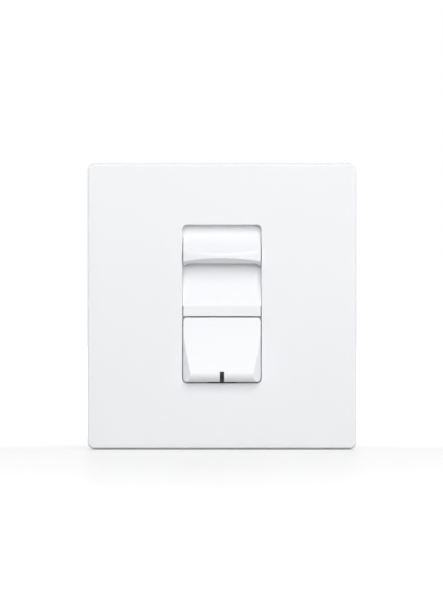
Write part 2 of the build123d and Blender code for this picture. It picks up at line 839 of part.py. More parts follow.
def wedge(inset):
    """The paddle's outer form drawn in by an inset on all sides but the back."""
    half_width = control_half_width - inset
    corner = max(paddle_corner - inset, opening_rounding)
    slope_start = slope_level - inset * tan(radians(paddle_side_slope / 2))
    face_half_width = half_width - (face_level - slope_start) * tan(radians(paddle_side_slope))
    under_rounding = max(paddle_under_rounding - inset, opening_rounding)
    with BuildPart(mode=Mode.PRIVATE) as body:
        with BuildSketch(front(skirt_back)):
            with Locations((0, paddle_middle)):
                RectangleRounded(2 * half_width, paddle_height - 2 * inset, corner)
        extrude(amount=face_level - skirt_back)
        with BuildSketch(across(guide_half_width)) as side_view:
            with BuildLine():
                top = (inset - plate_depth, paddle_top)
                middle = (inset + paddle_face_bulge - paddle_middle_front, paddle_middle)
                bottom = (inset - face_level, paddle_bottom + inset)
                ThreePointArc(top, middle, bottom)
                Polyline(bottom, (0, bottom[1]), (0, top[1]), top)
            make_face()
            fillet(side_view.vertices().sort_by(Axis.X)[0], radius=under_rounding)
        extrude(amount=2 * guide_half_width, mode=Mode.INTERSECT)
        with BuildSketch(Plane.XY.offset(paddle_bottom - trim_spare)) as plan_view:
            with BuildLine():
                Polyline(
                    (half_width, 0),
                    (half_width, -slope_start),
                    (face_half_width, -face_level),
                    (-face_half_width, -face_level),
                    (-half_width, -slope_start),
                    (-half_width, 0),
                    close=True,
                )
            make_face()
        extrude(amount=paddle_height + 2 * trim_spare, mode=Mode.INTERSECT)
    return body.part


paddle_outside = wedge(0)
paddle_inside = wedge(paddle_wall)
post_back = plunger_front + paddle_post_gap
seat_back = plate_depth + spring_seat_front
lens_bottom = paddle_bottom - trim_spare
lens_back = plate_depth - lens_skirt

with BuildPart() as on_off_paddle:
    add(paddle_outside)
    face_edges = on_off_paddle.edges().filter_by(
        lambda edge: edge.bounding_box().max.Y < -plate_depth + paddle_edge_rounding
        and edge.bounding_box().max.Z > paddle_bottom + paddle_edge_rounding
        and edge.bounding_box().size.X < control_half_width
    )
    fillet(face_edges, radius=paddle_edge_rounding)
    add(paddle_inside, mode=Mode.SUBTRACT)
    with BuildSketch(front(post_back)) as switch_post:
        with Locations((0, switch_height)):
            Circle(paddle_post_radius)
    extrude(amount=paddle_front_at(switch_height) - post_back - paddle_wall / 2)
    with BuildSketch(front(seat_back)) as spring_seats:
        with Locations((0, paddle_spring_height)):
            with GridLocations(paddle_spring_spread, 0, 2, 1):
                Circle(spring_seat_radius)
    extrude(amount=paddle_front_at(paddle_spring_height) - seat_back - paddle_wall / 2)
    with BuildSketch(front(behind_plate - stop_lug_thickness)) as stop_lugs:
        with Locations((0, paddle_bottom + (paddle_wall - stop_lug_reach) / 2)):
            with GridLocations(stop_lug_spread, 0, 2, 1):
                Rectangle(stop_lug_width, stop_lug_reach + paddle_wall)
    extrude(amount=stop_lug_thickness)
    for side in (-1, 1):
        with BuildSketch(Plane.YZ.offset(side * (control_half_width - paddle_wall))):
            with Locations((-hinge_front, hinge_z)):
                Circle(hinge_lug_radius)
        extrude(amount=side * paddle_wall)
        with BuildSketch(Plane.YZ.offset(side * control_half_width)):
            with Locations((-hinge_front, hinge_z)):
                Circle(hinge_pin_radius)
        extrude(amount=side * hinge_pin_reach)
    with BuildSketch(front(lens_back)) as lens_slot:
        with Locations((0, (lens_top + lens_bottom) / 2)):
            Rectangle(lens_width + 2 * lens_fit, lens_top - lens_bottom + 2 * lens_fit)
    extrude(amount=face_level, mode=Mode.SUBTRACT)
save(on_off_paddle, "on_off_paddle")

# Locator lens: a dark bar flush with the paddle, held by a wider foot inside it
with BuildPart() as lens_bar:
    add(paddle_outside)
    add(wedge(paddle_wall + lens_foot_thickness), mode=Mode.SUBTRACT)
    with BuildSketch(front(lens_back + lens_fit)):
        with Locations((0, (lens_top + lens_bottom) / 2)):
            Rectangle(lens_width, lens_top - lens_bottom)
    extrude(amount=face_level, mode=Mode.INTERSECT)
with BuildPart() as lens_foot:
    add(wedge(paddle_wall + lens_fit))
    add(wedge(paddle_wall + lens_foot_thickness), mode=Mode.SUBTRACT)
    with BuildSketch(front(lens_back + lens_fit)):
        with Locations((0, (lens_top + lens_bottom) / 2)):
            Rectangle(lens_foot_width, lens_top - lens_bottom)
    extrude(amount=face_level, mode=Mode.INTERSECT)
with BuildPart() as locator_lens:
    add(lens_bar.part)
    add(lens_foot.part)
save(locator_lens, "locator_lens")

# Return springs between the bezel's floor and the seats inside the paddle
spring_back = sink_front + spring_floor + spring_seat_gap
paddle_spring_length = seat_back - spring_back - spring_seat_gap
paddle_spring = coil(
    paddle_spring_radius, paddle_spring_wire, paddle_spring_turns, paddle_spring_length
)
with BuildPart() as paddle_springs:
    with Locations(front(spring_back)):
        with Locations((0, paddle_spring_height)):
            with GridLocations(paddle_spring_spread, 0, 2, 1):
                add(paddle_spring)
save(paddle_springs, "paddle_springs")

# Push switch: a can on the board, a sprung plunger and a bridge between two contacts
switch_can_front = switch_can_gap
flange_front = switch_can_front + switch_can_wall + plunger_gap
flange_back = flange_front + plunger_flange
bridge_back = flange_back + bridge_thickness
plunger_travel = (hinge_z - switch_height) * tan(radians(paddle_press_angle))
contact_front = bridge_back + plunger_travel + contact_gap
stub_radius = switch_spring_radius - switch_spring_wire / 2 - plunger_gap

with BuildPart() as switch_can:
    with BuildSketch(deep(board_deep)):
        with Locations((0, switch_height)):
            Rectangle(switch_can_width, switch_can_height)
    extrude(amount=board_deep - switch_can_front)
    outer_edges = switch_can.edges().filter_by(Axis.Y)
    fillet(outer_edges, radius=switch_can_wall / 2)
    with BuildSketch(deep(board_deep)):
        with Locations((0, switch_height)):
            Rectangle(
                switch_can_width - 2 * switch_can_wall, switch_can_height - 2 * switch_can_wall
            )
    extrude(amount=board_deep - switch_can_front - switch_can_wall, mode=Mode.SUBTRACT)
    with Locations(deep(switch_can_front)):
        with Locations((0, switch_height)):
            Hole(radius=plunger_radius + plunger_gap, depth=switch_can_wall)
save(switch_can, "switch_can")

with BuildPart() as switch_plunger:
    with BuildSketch(front(plunger_front)):
        with Locations((0, switch_height)):
            Circle(plunger_radius)
    extrude(amount=-(plunger_front + flange_front))
    with BuildSketch(deep(flange_front)):
        with Locations((0, switch_height)):
            Circle(plunger_flange_radius)
    extrude(amount=-plunger_flange)
    with BuildSketch(deep(flange_back)):
        with Locations((0, switch_height)):
            Circle(stub_radius)
    extrude(amount=-2 * stub_radius)
save(switch_plunger, "switch_plunger")

with BuildPart() as switch_bridge:
    with BuildSketch(deep(flange_back)):
        with Locations((0, switch_height)):
            Rectangle(bridge_length, bridge_width)
            Circle(stub_radius + thread_gap, mode=Mode.SUBTRACT)
    extrude(amount=-bridge_thickness)
save(switch_bridge, "switch_bridge")

with BuildPart() as switch_contacts:
    with BuildSketch(deep(board_deep)):
        with Locations((0, switch_height)):
            with GridLocations(contact_spread, 0, 2, 1):
                Rectangle(contact_thickness, contact_width)
    extrude(amount=board_deep - contact_front)
save(switch_contacts, "switch_contacts")

switch_spring_coil = coil(
    switch_spring_radius,
    switch_spring_wire,
    switch_spring_turns,
    board_deep - bridge_back - 2 * spring_seat_gap,
)
with BuildPart() as switch_spring:
    with Locations(deep(board_deep - spring_seat_gap)):
        with Locations((0, switch_height)):
            add(switch_spring_coil)
save(switch_spring, "switch_spring")

# Lamp behind the locator lens
with BuildPart() as locator_led:
    with BuildSketch(deep(board_deep)):
        with Locations((0, led_height)):
            Circle(led_base_radius)
    extrude(amount=led_base_height)
    with BuildSketch(deep(board_deep)):
        with Locations((0, led_height)):
            Circle(led_radius)
    extrude(amount=led_length)
    dome_edge = locator_led.edges().filter_by(GeomType.CIRCLE).sort_by(Axis.Y)[0]
    fillet(dome_edge, radius=led_radius * 0.9)
save(locator_led, "locator_led")

# Circuit board with its notches and lead holes
board_half_width = housing_width / 2 - housing_wall - board_wall_gap
board_half_height = housing_height / 2 - housing_wall - board_wall_gap
triac_bottom = triac_top - triac_tab_length
resistor_x = board_half_width - resistor_inset
triac_lead_z = triac_bottom - triac_lead_drop
resistor_half_span = resistor_length / 2 + resistor_lead_reach
diac_half_span = diac_length / 2 + resistor_lead_reach
lead_hole_radius = lead_radius + lead_hole_gap
strap_notch_half = strip_width / 2 + board_notch_gap
resistor_middle_z = resistor_z - resistor_pitch * (resistor_count - 1) / 2

with BuildPart() as circuit_board:
    with BuildSketch(deep(board_back)):
        Rectangle(2 * board_half_width, 2 * board_half_height)
        with GridLocations(2 * housing_screw_x, 2 * housing_screw_z, 2, 2):
            Circle(housing_boss_radius + board_notch_gap, mode=Mode.SUBTRACT)
        with Locations((-board_half_width, -terminal_z)):
            notch_width = 2 * (board_half_width - pocket_floor_x + board_notch_gap)
            Rectangle(notch_width, 2 * strap_notch_half, mode=Mode.SUBTRACT)
        with Locations((board_screw_x, board_screw_z), (-board_screw_x, -board_screw_z)):
            Circle(board_screw_radius + screw_hole_gap, mode=Mode.SUBTRACT)
        with Locations((triac_x, triac_lead_z)):
            with GridLocations(triac_lead_pitch, 0, 3, 1):
                Circle(lead_hole_radius, mode=Mode.SUBTRACT)
        with Locations((resistor_x, resistor_middle_z)):
            with GridLocations(2 * resistor_half_span, resistor_pitch, 2, resistor_count):
                Circle(lead_hole_radius, mode=Mode.SUBTRACT)
        with Locations((diac_x, diac_z)):
            with GridLocations(2 * diac_half_span, 0, 2, 1):
                Circle(lead_hole_radius, mode=Mode.SUBTRACT)
    extrude(amount=board_thickness)
save(circuit_board, "circuit_board")

board_screw = screw(
    board_screw_radius, board_screw_length, board_screw_head_radius, board_screw_head_height
)
with BuildPart() as board_screws:
    with Locations(deep(board_deep)):
        with Locations((board_screw_x, board_screw_z), (-board_screw_x, -board_screw_z)):
            add(board_screw)
save(board_screws, "board_screws")

# Triac: its tab lies on an insulator on the heat sink, its leads turn back to the board
tab_back = insulator_thickness + triac_tab_thickness
lead_level = tab_back + lead_radius + insulator_thickness
triac_middle = (triac_top + triac_bottom) / 2

with BuildPart() as triac:
    with BuildSketch(deep(insulator_thickness)):
        with Locations((triac_x, triac_middle)):
            Rectangle(triac_width, triac_tab_length)
        with Locations((triac_x, triac_hole_z)):
            Circle(triac_hole_radius, mode=Mode.SUBTRACT)
    extrude(amount=-triac_tab_thickness)
    with BuildSketch(deep(insulator_thickness)):
        with Locations((triac_x, triac_bottom + triac_body_length / 2)):
            Rectangle(triac_width, triac_body_length)
    extrude(amount=-triac_body_thickness)
    back_rim = triac.faces().sort_by(Axis.Y)[-1].edges()
    chamfer(back_rim, length=insulator_thickness)
    for place in (-1, 0, 1):
        lead_x = triac_x + place * triac_lead_pitch
        with BuildLine():
            lead_path = FilletPolyline(
                (lead_x, lead_level, triac_bottom + lead_radius),
                (lead_x, lead_level, triac_lead_z),
                (lead_x, board_back + lead_tail, triac_lead_z),
                radius=2 * lead_radius,
            )
        with BuildSketch(Plane(origin=lead_path @ 0, z_dir=lead_path % 0)):
            Circle(lead_radius)
        sweep(path=lead_path)
save(triac, "triac")

with BuildPart() as triac_insulator:
    with BuildSketch(deep(0)):
        with Locations((triac_x, triac_middle)):
            Rectangle(triac_width + 2 * insulator_border, triac_tab_length + 2 * insulator_border)
        with Locations((triac_x, triac_hole_z)):
            Circle(triac_hole_radius, mode=Mode.SUBTRACT)
    extrude(amount=-insulator_thickness)
save(triac_insulator, "triac_insulator")

with BuildPart() as triac_screw:
    with Locations(Plane(origin=(triac_x, tab_back, triac_hole_z), z_dir=(0, 1, 0))):
        add(
            screw(
                triac_screw_radius,
                tab_back + sink_thickness,
                triac_screw_head_radius,
                triac_screw_head_height,
            )
        )
save(triac_screw, "triac_screw")

# Choke: an iron powder ring inside a winding whose turns show as ribs
winding_back = board_back + choke_core_thickness + 2 * (choke_wire + winding_gap)
winding_outer = choke_outer_radius + choke_wire + winding_gap
winding_inner = choke_inner_radius - choke_wire - winding_gap
core_front = board_back + choke_wire + winding_gap

with BuildPart() as choke_core:
    with BuildSketch(deep(core_front)):
        with Locations((choke_x, choke_height)):
            Circle(choke_outer_radius)
            Circle(choke_inner_radius, mode=Mode.SUBTRACT)
    extrude(amount=-choke_core_thickness)
save(choke_core, "choke_core")

with BuildPart() as choke_winding:
    with BuildSketch(deep(board_back)):
        with Locations((choke_x, choke_height)):
            Circle(winding_outer)
            Circle(winding_inner, mode=Mode.SUBTRACT)
    extrude(amount=board_back - winding_back)
    round_edges = choke_winding.edges().filter_by(GeomType.CIRCLE)
    fillet(round_edges, radius=choke_wire)
    with BuildSketch(deep(core_front - winding_gap)):
        with Locations((choke_x, choke_height)):
            Circle(choke_outer_radius + winding_gap)
            Circle(choke_inner_radius - winding_gap, mode=Mode.SUBTRACT)
    extrude(amount=-choke_core_thickness - 2 * winding_gap, mode=Mode.SUBTRACT)
    with BuildSketch(deep(board_back)) as grooves_between_turns:
        with Locations((choke_x, choke_height)):
            with PolarLocations(winding_outer, choke_turns):
                Rectangle(2 * choke_groove, choke_groove)
    extrude(amount=board_back - winding_back, mode=Mode.SUBTRACT)
save(choke_winding, "choke_winding")


def box_on_board(size, x, z):
    """A block with rounded edges that stands on the back of the circuit board."""
    width, height, depth = size
    with BuildPart(mode=Mode.PRIVATE) as body:
        with BuildSketch(deep(board_back)):
            with Locations((x, z)):
                Rectangle(width, height)
        extrude(amount=-depth)
        far_edges = body.edges().group_by(Axis.Y)[-1] + body.edges().filter_by(Axis.Y)
        fillet(far_edges, radius=capacitor_rounding)
    return body.part


with BuildPart() as filter_capacitor:
    add(box_on_board(filter_capacitor_size, filter_capacitor_x, filter_capacitor_z))
save(filter_capacitor, "filter_capacitor")

with BuildPart() as timing_capacitor:
    add(box_on_board(timing_capacitor_size, timing_capacitor_x, timing_capacitor_z))
save(timing_capacitor, "timing_capacitor")


def leaded_body(length, radius, end_radius, end_length, half_span):
    """A small round component along local X, with leads bent down through the board."""
    level = end_radius + resistor_lift
    tail = -board_thickness - lead_tail
    with BuildPart(mode=Mode.PRIVATE) as body:
        with BuildSketch(Plane.XZ):
            with BuildLine():
                Polyline(
                    (-length / 2, level),
                    (-length / 2, level + end_radius),
                    (-length / 2 + end_length, level + end_radius),
                    (-length / 2 + end_length, level + radius),
                    (length / 2 - end_length, level + radius),
                    (length / 2 - end_length, level + end_radius),
                    (length / 2, level + end_radius),
                    (length / 2, level),
                    close=True,
                )
            make_face()
        revolve(axis=Axis((0, 0, level), (1, 0, 0)))
        with BuildLine(Plane.XZ):
            wire = FilletPolyline(
                (-half_span, tail),
                (-half_span, level),
                (half_span, level),
                (half_span, tail),
                radius=2 * lead_radius,
            )
        with BuildSketch(Plane(origin=wire @ 0, z_dir=wire % 0)):
            Circle(lead_radius)
        sweep(path=wire)
    return body.part


def into_housing(x, y, z):
    """A plane at a point, facing into the wall, with its local X along +X."""
    return Plane(origin=(x, y, z), x_dir=(1, 0, 0), z_dir=(0, 1, 0))


resistor = leaded_body(
    resistor_length, resistor_radius, resistor_end_radius, resistor_end_length, resistor_half_span
)
with BuildPart() as resistors:
    with Locations(into_housing(resistor_x, board_back, resistor_middle_z)):
        with GridLocations(0, resistor_pitch, 1, resistor_count):
            add(resistor)
save(resistors, "resistors")

with BuildPart() as diac:
    with Locations(into_housing(diac_x, board_back, diac_z)):
        add(
            leaded_body(
                diac_length, diac_radius, diac_end_radius, diac_length / 4, diac_half_span
            )
        )
save(diac, "diac")

# Screw terminals: a strip on a pocket's floor, a clamp plate over it and a screw
pocket_back = pocket_front + pocket_length
pocket_middle = (pocket_front + pocket_back) / 2
strip_back = pocket_back - strip_slot_gap
clamp_x = pocket_floor_x + strip_thickness
terminal_spots = ((1, terminal_z), (1, -terminal_z), (-1, terminal_z))
ground_spot = (-1, -terminal_z)


def side_plane(side, distance, z):
    """A plane at a side of the housing, facing outwards, in the middle of a pocket."""
    return Plane(origin=(side * distance, pocket_middle, z), x_dir=(0, 1, 0), z_dir=(side, 0, 0))


def contact_strip(side, z, start):
    """A flat strip from a depth behind the wall to the far end of a pocket."""
    length = strip_back - start
    with BuildPart(mode=Mode.PRIVATE) as body:
        with BuildSketch(side_plane(side, pocket_floor_x, z)):
            with Locations(((start + strip_back) / 2 - pocket_middle, 0)):
                Rectangle(length, strip_width)
            Circle(terminal_screw_radius + thread_gap, mode=Mode.SUBTRACT)
        extrude(amount=strip_thickness)
    return body.part


def clamp_plate(side, z):
    """A square clamp plate with turned-down corners on a terminal strip."""
    with BuildPart(mode=Mode.PRIVATE) as body:
        with BuildSketch(side_plane(side, clamp_x, z)):
            RectangleRounded(clamp_side, clamp_side, clamp_rounding)
            Circle(terminal_screw_radius + screw_hole_gap, mode=Mode.SUBTRACT)
        extrude(amount=clamp_thickness)
    return body.part


terminal_screw = screw(
    terminal_screw_radius,
    terminal_screw_length,
    terminal_screw_head_radius,
    terminal_screw_head_height,
)

with BuildPart() as terminal_strips:
    for side, z in terminal_spots:
        add(contact_strip(side, z, board_back))
save(terminal_strips, "terminal_strips")

with BuildPart() as terminal_clamps:
    for side, z in terminal_spots:
        add(clamp_plate(side, z))
save(terminal_clamps, "terminal_clamps")

with BuildPart() as terminal_screws:
    for side, z in terminal_spots:
        with Locations(side_plane(side, clamp_x + clamp_thickness, z)):
            add(terminal_screw)
save(terminal_screws, "terminal_screws")

with BuildPart() as ground_strap:
    side, z = ground_spot
    add(contact_strip(side, z, 0))
    with BuildSketch(deep(0)):
        with Locations((side * (pocket_floor_x - strap_foot / 2 + strip_thickness / 2), z)):
            Rectangle(strap_foot + strip_thickness, strip_width)
        with Locations((rivet_x, z)):
            Circle(rivet_radius + thread_gap, mode=Mode.SUBTRACT)
    extrude(amount=-strip_thickness)
save(ground_strap, "ground_strap")

with BuildPart() as ground_clamp:
    add(clamp_plate(*ground_spot))
save(ground_clamp, "ground_clamp")

with BuildPart() as ground_screw:
    side, z = ground_spot
    with Locations(side_plane(side, clamp_x + clamp_thickness, z)):
        add(terminal_screw)
save(ground_screw, "ground_screw")

with BuildPart() as strap_rivet:
    with BuildSketch(Plane(origin=(rivet_x, 0, -terminal_z), x_dir=(1, 0, 0), z_dir=(0, 0, 1))):
        with BuildLine():
            Polyline(
                (0, -sink_front),
                (rivet_head_radius, -sink_front),
                (rivet_radius, rivet_head_radius - rivet_radius - sink_front),
                (rivet_radius, strip_thickness),
                (rivet_head_radius, strip_thickness),
                (rivet_head_radius, strip_thickness + rivet_head_height / 2),
                (rivet_radius, strip_thickness + rivet_head_height),
                (0, strip_thickness + rivet_head_height),
                close=True,
            )
        make_face()
    revolve(axis=Axis((rivet_x, 0, -terminal_z), (0, 1, 0)))
save(strap_rivet, "strap_rivet")

# Back housing: an open tray with screw bosses, board posts and terminal pockets
housing_back_inner = housing_depth - housing_wall
block_width = housing_width / 2 - pocket_floor_x + pocket_floor

with BuildPart() as back_housing:
    with BuildSketch(deep(0)):
        RectangleRounded(housing_width, housing_height, housing_corner_radius)
    extrude(amount=-housing_depth)
    back_rim = back_housing.faces().sort_by(Axis.Y)[-1].edges()
    fillet(back_rim, radius=housing_wall / 2)
    with BuildSketch(deep(0)):
        RectangleRounded(
            housing_width - 2 * housing_wall,
            housing_height - 2 * housing_wall,
            housing_corner_radius - housing_wall,
        )
    extrude(amount=-housing_back_inner, mode=Mode.SUBTRACT)
    with BuildSketch(deep(0)) as screw_bosses:
        with GridLocations(2 * housing_screw_x, 2 * housing_screw_z, 2, 2):
            Circle(housing_boss_radius)
        RectangleRounded(
            housing_width, housing_height, housing_corner_radius, mode=Mode.INTERSECT
        )
    extrude(amount=-housing_depth + housing_wall / 2)
    with BuildSketch(deep(board_back)) as board_ledges:
        with GridLocations(2 * housing_screw_x, 2 * housing_screw_z, 2, 2):
            Circle(housing_boss_radius + board_ledge)
        RectangleRounded(
            housing_width - housing_wall,
            housing_height - housing_wall,
            housing_corner_radius,
            mode=Mode.INTERSECT,
        )
        with Locations((board_screw_x, board_screw_z), (-board_screw_x, -board_screw_z)):
            Circle(board_post_radius)
    extrude(amount=board_back - housing_depth + housing_wall / 2)
    with BuildSketch(deep(pocket_front - pocket_wall)) as pocket_blocks:
        with GridLocations(housing_width - block_width, 2 * terminal_z, 2, 2):
            Rectangle(block_width - housing_wall / 2, pocket_height + 2 * pocket_wall)
    extrude(amount=-(pocket_length + 2 * pocket_wall))
    with BuildSketch(deep(pocket_front)) as pockets:
        with GridLocations(housing_width - pocket_depth, 2 * terminal_z, 2, 2):
            Rectangle(pocket_depth, pocket_height)
    extrude(amount=-pocket_length, mode=Mode.SUBTRACT)
    with BuildSketch(deep(pocket_front)) as strip_slots:
        slot_middle = pocket_floor_x + strip_thickness / 2
        with GridLocations(2 * slot_middle, 2 * terminal_z, 2, 2):
            Rectangle(strip_thickness + 2 * strip_slot_gap, strip_width + 2 * strip_slot_gap)
    extrude(amount=pocket_wall, mode=Mode.SUBTRACT)
    for side, z in terminal_spots + (ground_spot,):
        with Locations(side_plane(side, pocket_floor_x, z)):
            Hole(
                radius=terminal_screw_radius + thread_gap,
                depth=terminal_screw_length - clamp_thickness - strip_thickness + thread_gap,
            )
    with Locations(deep(0)):
        with GridLocations(2 * housing_screw_x, 2 * housing_screw_z, 2, 2):
            Hole(radius=housing_screw_radius + thread_gap, depth=housing_screw_length)
    with Locations(deep(board_back)):
        with Locations((board_screw_x, board_screw_z), (-board_screw_x, -board_screw_z)):
            Hole(radius=board_screw_radius + thread_gap, depth=board_screw_length)
    with BuildSketch(deep(housing_depth)) as vents:
        with GridLocations(vent_pitch, 0, vent_count, 1):
            SlotOverall(vent_length, vent_width, rotation=90)
    extrude(amount=housing_wall, mode=Mode.SUBTRACT)
save(back_housing, "back_housing")

housing_screw = flat_screw(housing_screw_radius, housing_screw_length, housing_screw_head_radius)
with BuildPart() as housing_screws:
    with Locations(front(sink_front)):
        with GridLocations(2 * housing_screw_x, 2 * housing_screw_z, 2, 2):
            add(housing_screw)
save(housing_screws, "housing_screws")
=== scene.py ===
import math

import bmesh
import bpy
from bpy.props import FloatProperty, FloatVectorProperty, IntProperty, PointerProperty
from bpy.types import Operator, Panel, PropertyGroup
from mathutils import Matrix, Vector


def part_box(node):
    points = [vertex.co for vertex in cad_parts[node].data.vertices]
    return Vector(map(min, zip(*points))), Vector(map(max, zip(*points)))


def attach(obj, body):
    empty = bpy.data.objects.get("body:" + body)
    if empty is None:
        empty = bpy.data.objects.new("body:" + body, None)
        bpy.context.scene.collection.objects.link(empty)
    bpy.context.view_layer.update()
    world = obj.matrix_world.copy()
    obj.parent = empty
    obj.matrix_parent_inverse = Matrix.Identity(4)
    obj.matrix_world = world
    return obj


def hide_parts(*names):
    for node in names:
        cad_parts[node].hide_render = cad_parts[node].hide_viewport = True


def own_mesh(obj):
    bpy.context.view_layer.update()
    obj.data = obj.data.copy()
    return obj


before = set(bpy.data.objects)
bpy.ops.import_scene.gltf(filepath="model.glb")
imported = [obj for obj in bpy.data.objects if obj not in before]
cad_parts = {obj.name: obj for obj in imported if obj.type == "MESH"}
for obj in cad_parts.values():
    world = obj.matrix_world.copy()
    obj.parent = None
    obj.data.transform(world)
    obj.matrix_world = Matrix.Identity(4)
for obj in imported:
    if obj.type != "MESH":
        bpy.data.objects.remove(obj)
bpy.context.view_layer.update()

bl_info = {
    "name": "Slide dimmer switch",
    "version": (1, 0, 0),
    "blender": (4, 5, 0),
    "location": "3D View > Sidebar > Dimmer",
    "description": "Dresses the packed model of a slide dimmer switch and lights it",
    "category": "Object",
}

MM = 0.001
ROOT_BODY = "dimmer"


# Colours of the parts inside

LAMP_GREEN = (0.5, 0.74, 0.5)
LACQUER_GREEN = (0.05, 0.27, 0.09)
BRONZE = (0.62, 0.34, 0.16)
SILVER = (0.78, 0.76, 0.7)
COPPER = (0.62, 0.24, 0.09)
NYLON = (0.78, 0.75, 0.66)
TRACK_BROWN = (0.16, 0.08, 0.035)
BOARD_GREEN = (0.035, 0.15, 0.05)
EPOXY_BLACK = (0.022, 0.022, 0.024)
PAD_GREY = (0.35, 0.36, 0.38)
CORE_YELLOW = (0.62, 0.52, 0.08)
FILM_AMBER = (0.55, 0.34, 0.03)
RESISTOR_TAN = (0.52, 0.37, 0.2)
DIAC_BLUE = (0.06, 0.1, 0.26)

# Bands of colour along a part, as the share of BAND_SPREAD where each starts

BAND_SPREAD = 8.0 * MM
RESISTOR_BANDS = (
    (0.0, RESISTOR_TAN),
    (0.24, (0.16, 0.06, 0.02)),
    (0.31, RESISTOR_TAN),
    (0.4, (0.55, 0.09, 0.02)),
    (0.47, RESISTOR_TAN),
    (0.68, (0.55, 0.38, 0.1)),
    (0.75, RESISTOR_TAN),
)
DIAC_BANDS = (
    (0.0, DIAC_BLUE),
    (0.6, (0.02, 0.02, 0.02)),
    (0.68, DIAC_BLUE),
)

# Floor, in metres: its side, and where its glow rises behind the plate and far away

FLOOR_SIDE = 8.0
GLOW_BEHIND = (-0.05, 0.3)
GLOW_FAR = (0.4, 1.0)


# What a user would change

COLOUR = {"subtype": "COLOR", "min": 0.0, "max": 1.0}
LENGTH = {"subtype": "DISTANCE", "unit": "LENGTH"}
ANGLE = {"subtype": "ANGLE", "unit": "ROTATION"}
SHARE = {"min": 0.0, "max": 1.0}


class DimmerColours(PropertyGroup):
    """Colours of the dimmer's materials."""

    plastic: FloatVectorProperty(
        name="Plastic",
        description="Colour of the wall plate, slider, channel and paddle",
        default=(0.86, 0.865, 0.885),
        **COLOUR,
    )
    lens: FloatVectorProperty(
        name="Locator lens",
        description="Colour of the smoked insert in the paddle",
        default=(0.028, 0.028, 0.03),
        **COLOUR,
    )
    housing: FloatVectorProperty(
        name="Housing",
        description="Colour of the back housing and the switch's body",
        default=(0.035, 0.036, 0.04),
        **COLOUR,
    )
    aluminium: FloatVectorProperty(
        name="Aluminium",
        description="Colour of the heat sink",
        default=(0.66, 0.67, 0.68),
        **COLOUR,
    )
    steel: FloatVectorProperty(
        name="Steel",
        description="Colour of plated screws and stamped steel",
        default=(0.6, 0.6, 0.59),
        **COLOUR,
    )
    brass: FloatVectorProperty(
        name="Brass",
        description="Colour of the terminals",
        default=(0.72, 0.52, 0.23),
        **COLOUR,
    )
    floor: FloatVectorProperty(
        name="Floor",
        description="Colour of the floor",
        default=(0.45, 0.45, 0.45),
        **COLOUR,
    )


class DimmerSizes(PropertyGroup):
    """Sizes of the pieces that are modelled here."""

    thread_radius: FloatProperty(
        name="Thread radius",
        description="Outer radius of the box screws' thread",
        default=1.75 * MM,
        **LENGTH,
    )
    thread_pitch: FloatProperty(
        name="Thread pitch",
        description="Rise of one turn of the box screws' thread",
        default=0.8 * MM,
        **LENGTH,
    )
    thread_depth: FloatProperty(
        name="Thread depth",
        description="Depth of the box screws' thread",
        default=0.5 * MM,
        **LENGTH,
    )
    choke_hole_radius: FloatProperty(
        name="Choke hole",
        description="Radius of the hole in the choke's core",
        default=4.6 * MM,
        **LENGTH,
    )
    choke_wire: FloatProperty(
        name="Choke wire",
        description="Diameter of the wire on the choke",
        default=0.94 * MM,
        **LENGTH,
    )
    choke_turns: IntProperty(
        name="Choke turns",
        description="Turns of wire round the choke's core",
        default=24,
        min=8,
        max=30,
    )


class DimmerStage(PropertyGroup):
    """Camera, lamps and floor."""

    camera_distance: FloatProperty(
        name="Camera distance",
        description="From the wall plane to the camera",
        default=2.0,
        **LENGTH,
    )
    view_height: FloatProperty(
        name="View height",
        description="Height of the picture at the wall plate's face",
        default=235.1 * MM,
        **LENGTH,
    )
    camera_side: FloatProperty(
        name="Camera side",
        description="How far the camera stands to the right of the plate's middle",
        default=-0.18 * MM,
        **LENGTH,
    )
    camera_height: FloatProperty(
        name="Camera height",
        description="How far the camera stands above the plate's middle",
        default=4.46 * MM,
        **LENGTH,
    )
    key_power: FloatProperty(
        name="Key lamp",
        description="Power of the large lamp above the dimmer",
        default=7.3,
        unit="POWER",
    )
    key_distance: FloatProperty(
        name="Key distance",
        description="From the plate's middle to the large lamp",
        default=0.9,
        **LENGTH,
    )
    key_elevation: FloatProperty(
        name="Key elevation",
        description="Angle of the large lamp above the horizon",
        default=math.radians(30.0),
        **ANGLE,
    )
    key_azimuth: FloatProperty(
        name="Key azimuth",
        description="Angle of the large lamp to the right of the camera",
        default=math.radians(7.0),
        **ANGLE,
    )
    key_size: FloatProperty(
        name="Key size",
        description="Side of the large square lamp",
        default=0.9,
        **LENGTH,
    )
    side_power: FloatProperty(
        name="Side lamps",
        description="Power of each of the two lamps beside the dimmer",
        default=4.8,
        unit="POWER",
    )
    side_distance: FloatProperty(
        name="Side distance",
        description="From the plate's middle to the side lamps",
        default=1.2,
        **LENGTH,
    )
    side_elevation: FloatProperty(
        name="Side elevation",
        description="Angle of the side lamps above the horizon",
        default=math.radians(20.0),
        **ANGLE,
    )
    side_azimuth: FloatProperty(
        name="Side azimuth",
        description="Angle of the side lamps to either side of the camera",
        default=math.radians(98.0),
        **ANGLE,
    )
    side_size: FloatProperty(
        name="Side size",
        description="Side of each square side lamp",
        default=0.7,
        **LENGTH,
    )
    floor_glow: FloatProperty(
        name="Floor glow",
        description="Light that the camera alone sees on the floor before the plate",
        default=0.28,
        **SHARE,
    )
    back_glow: FloatProperty(
        name="Back glow",
        description="The same behind the plate and far away, where the floor meets the backdrop",
        default=0.75,
        **SHARE,
    )
    fill_strength: FloatProperty(
        name="Fill",
        description="Strength of the light from all round",
        default=0.27,
        min=0.0,
    )


# Shader nodes as expressions


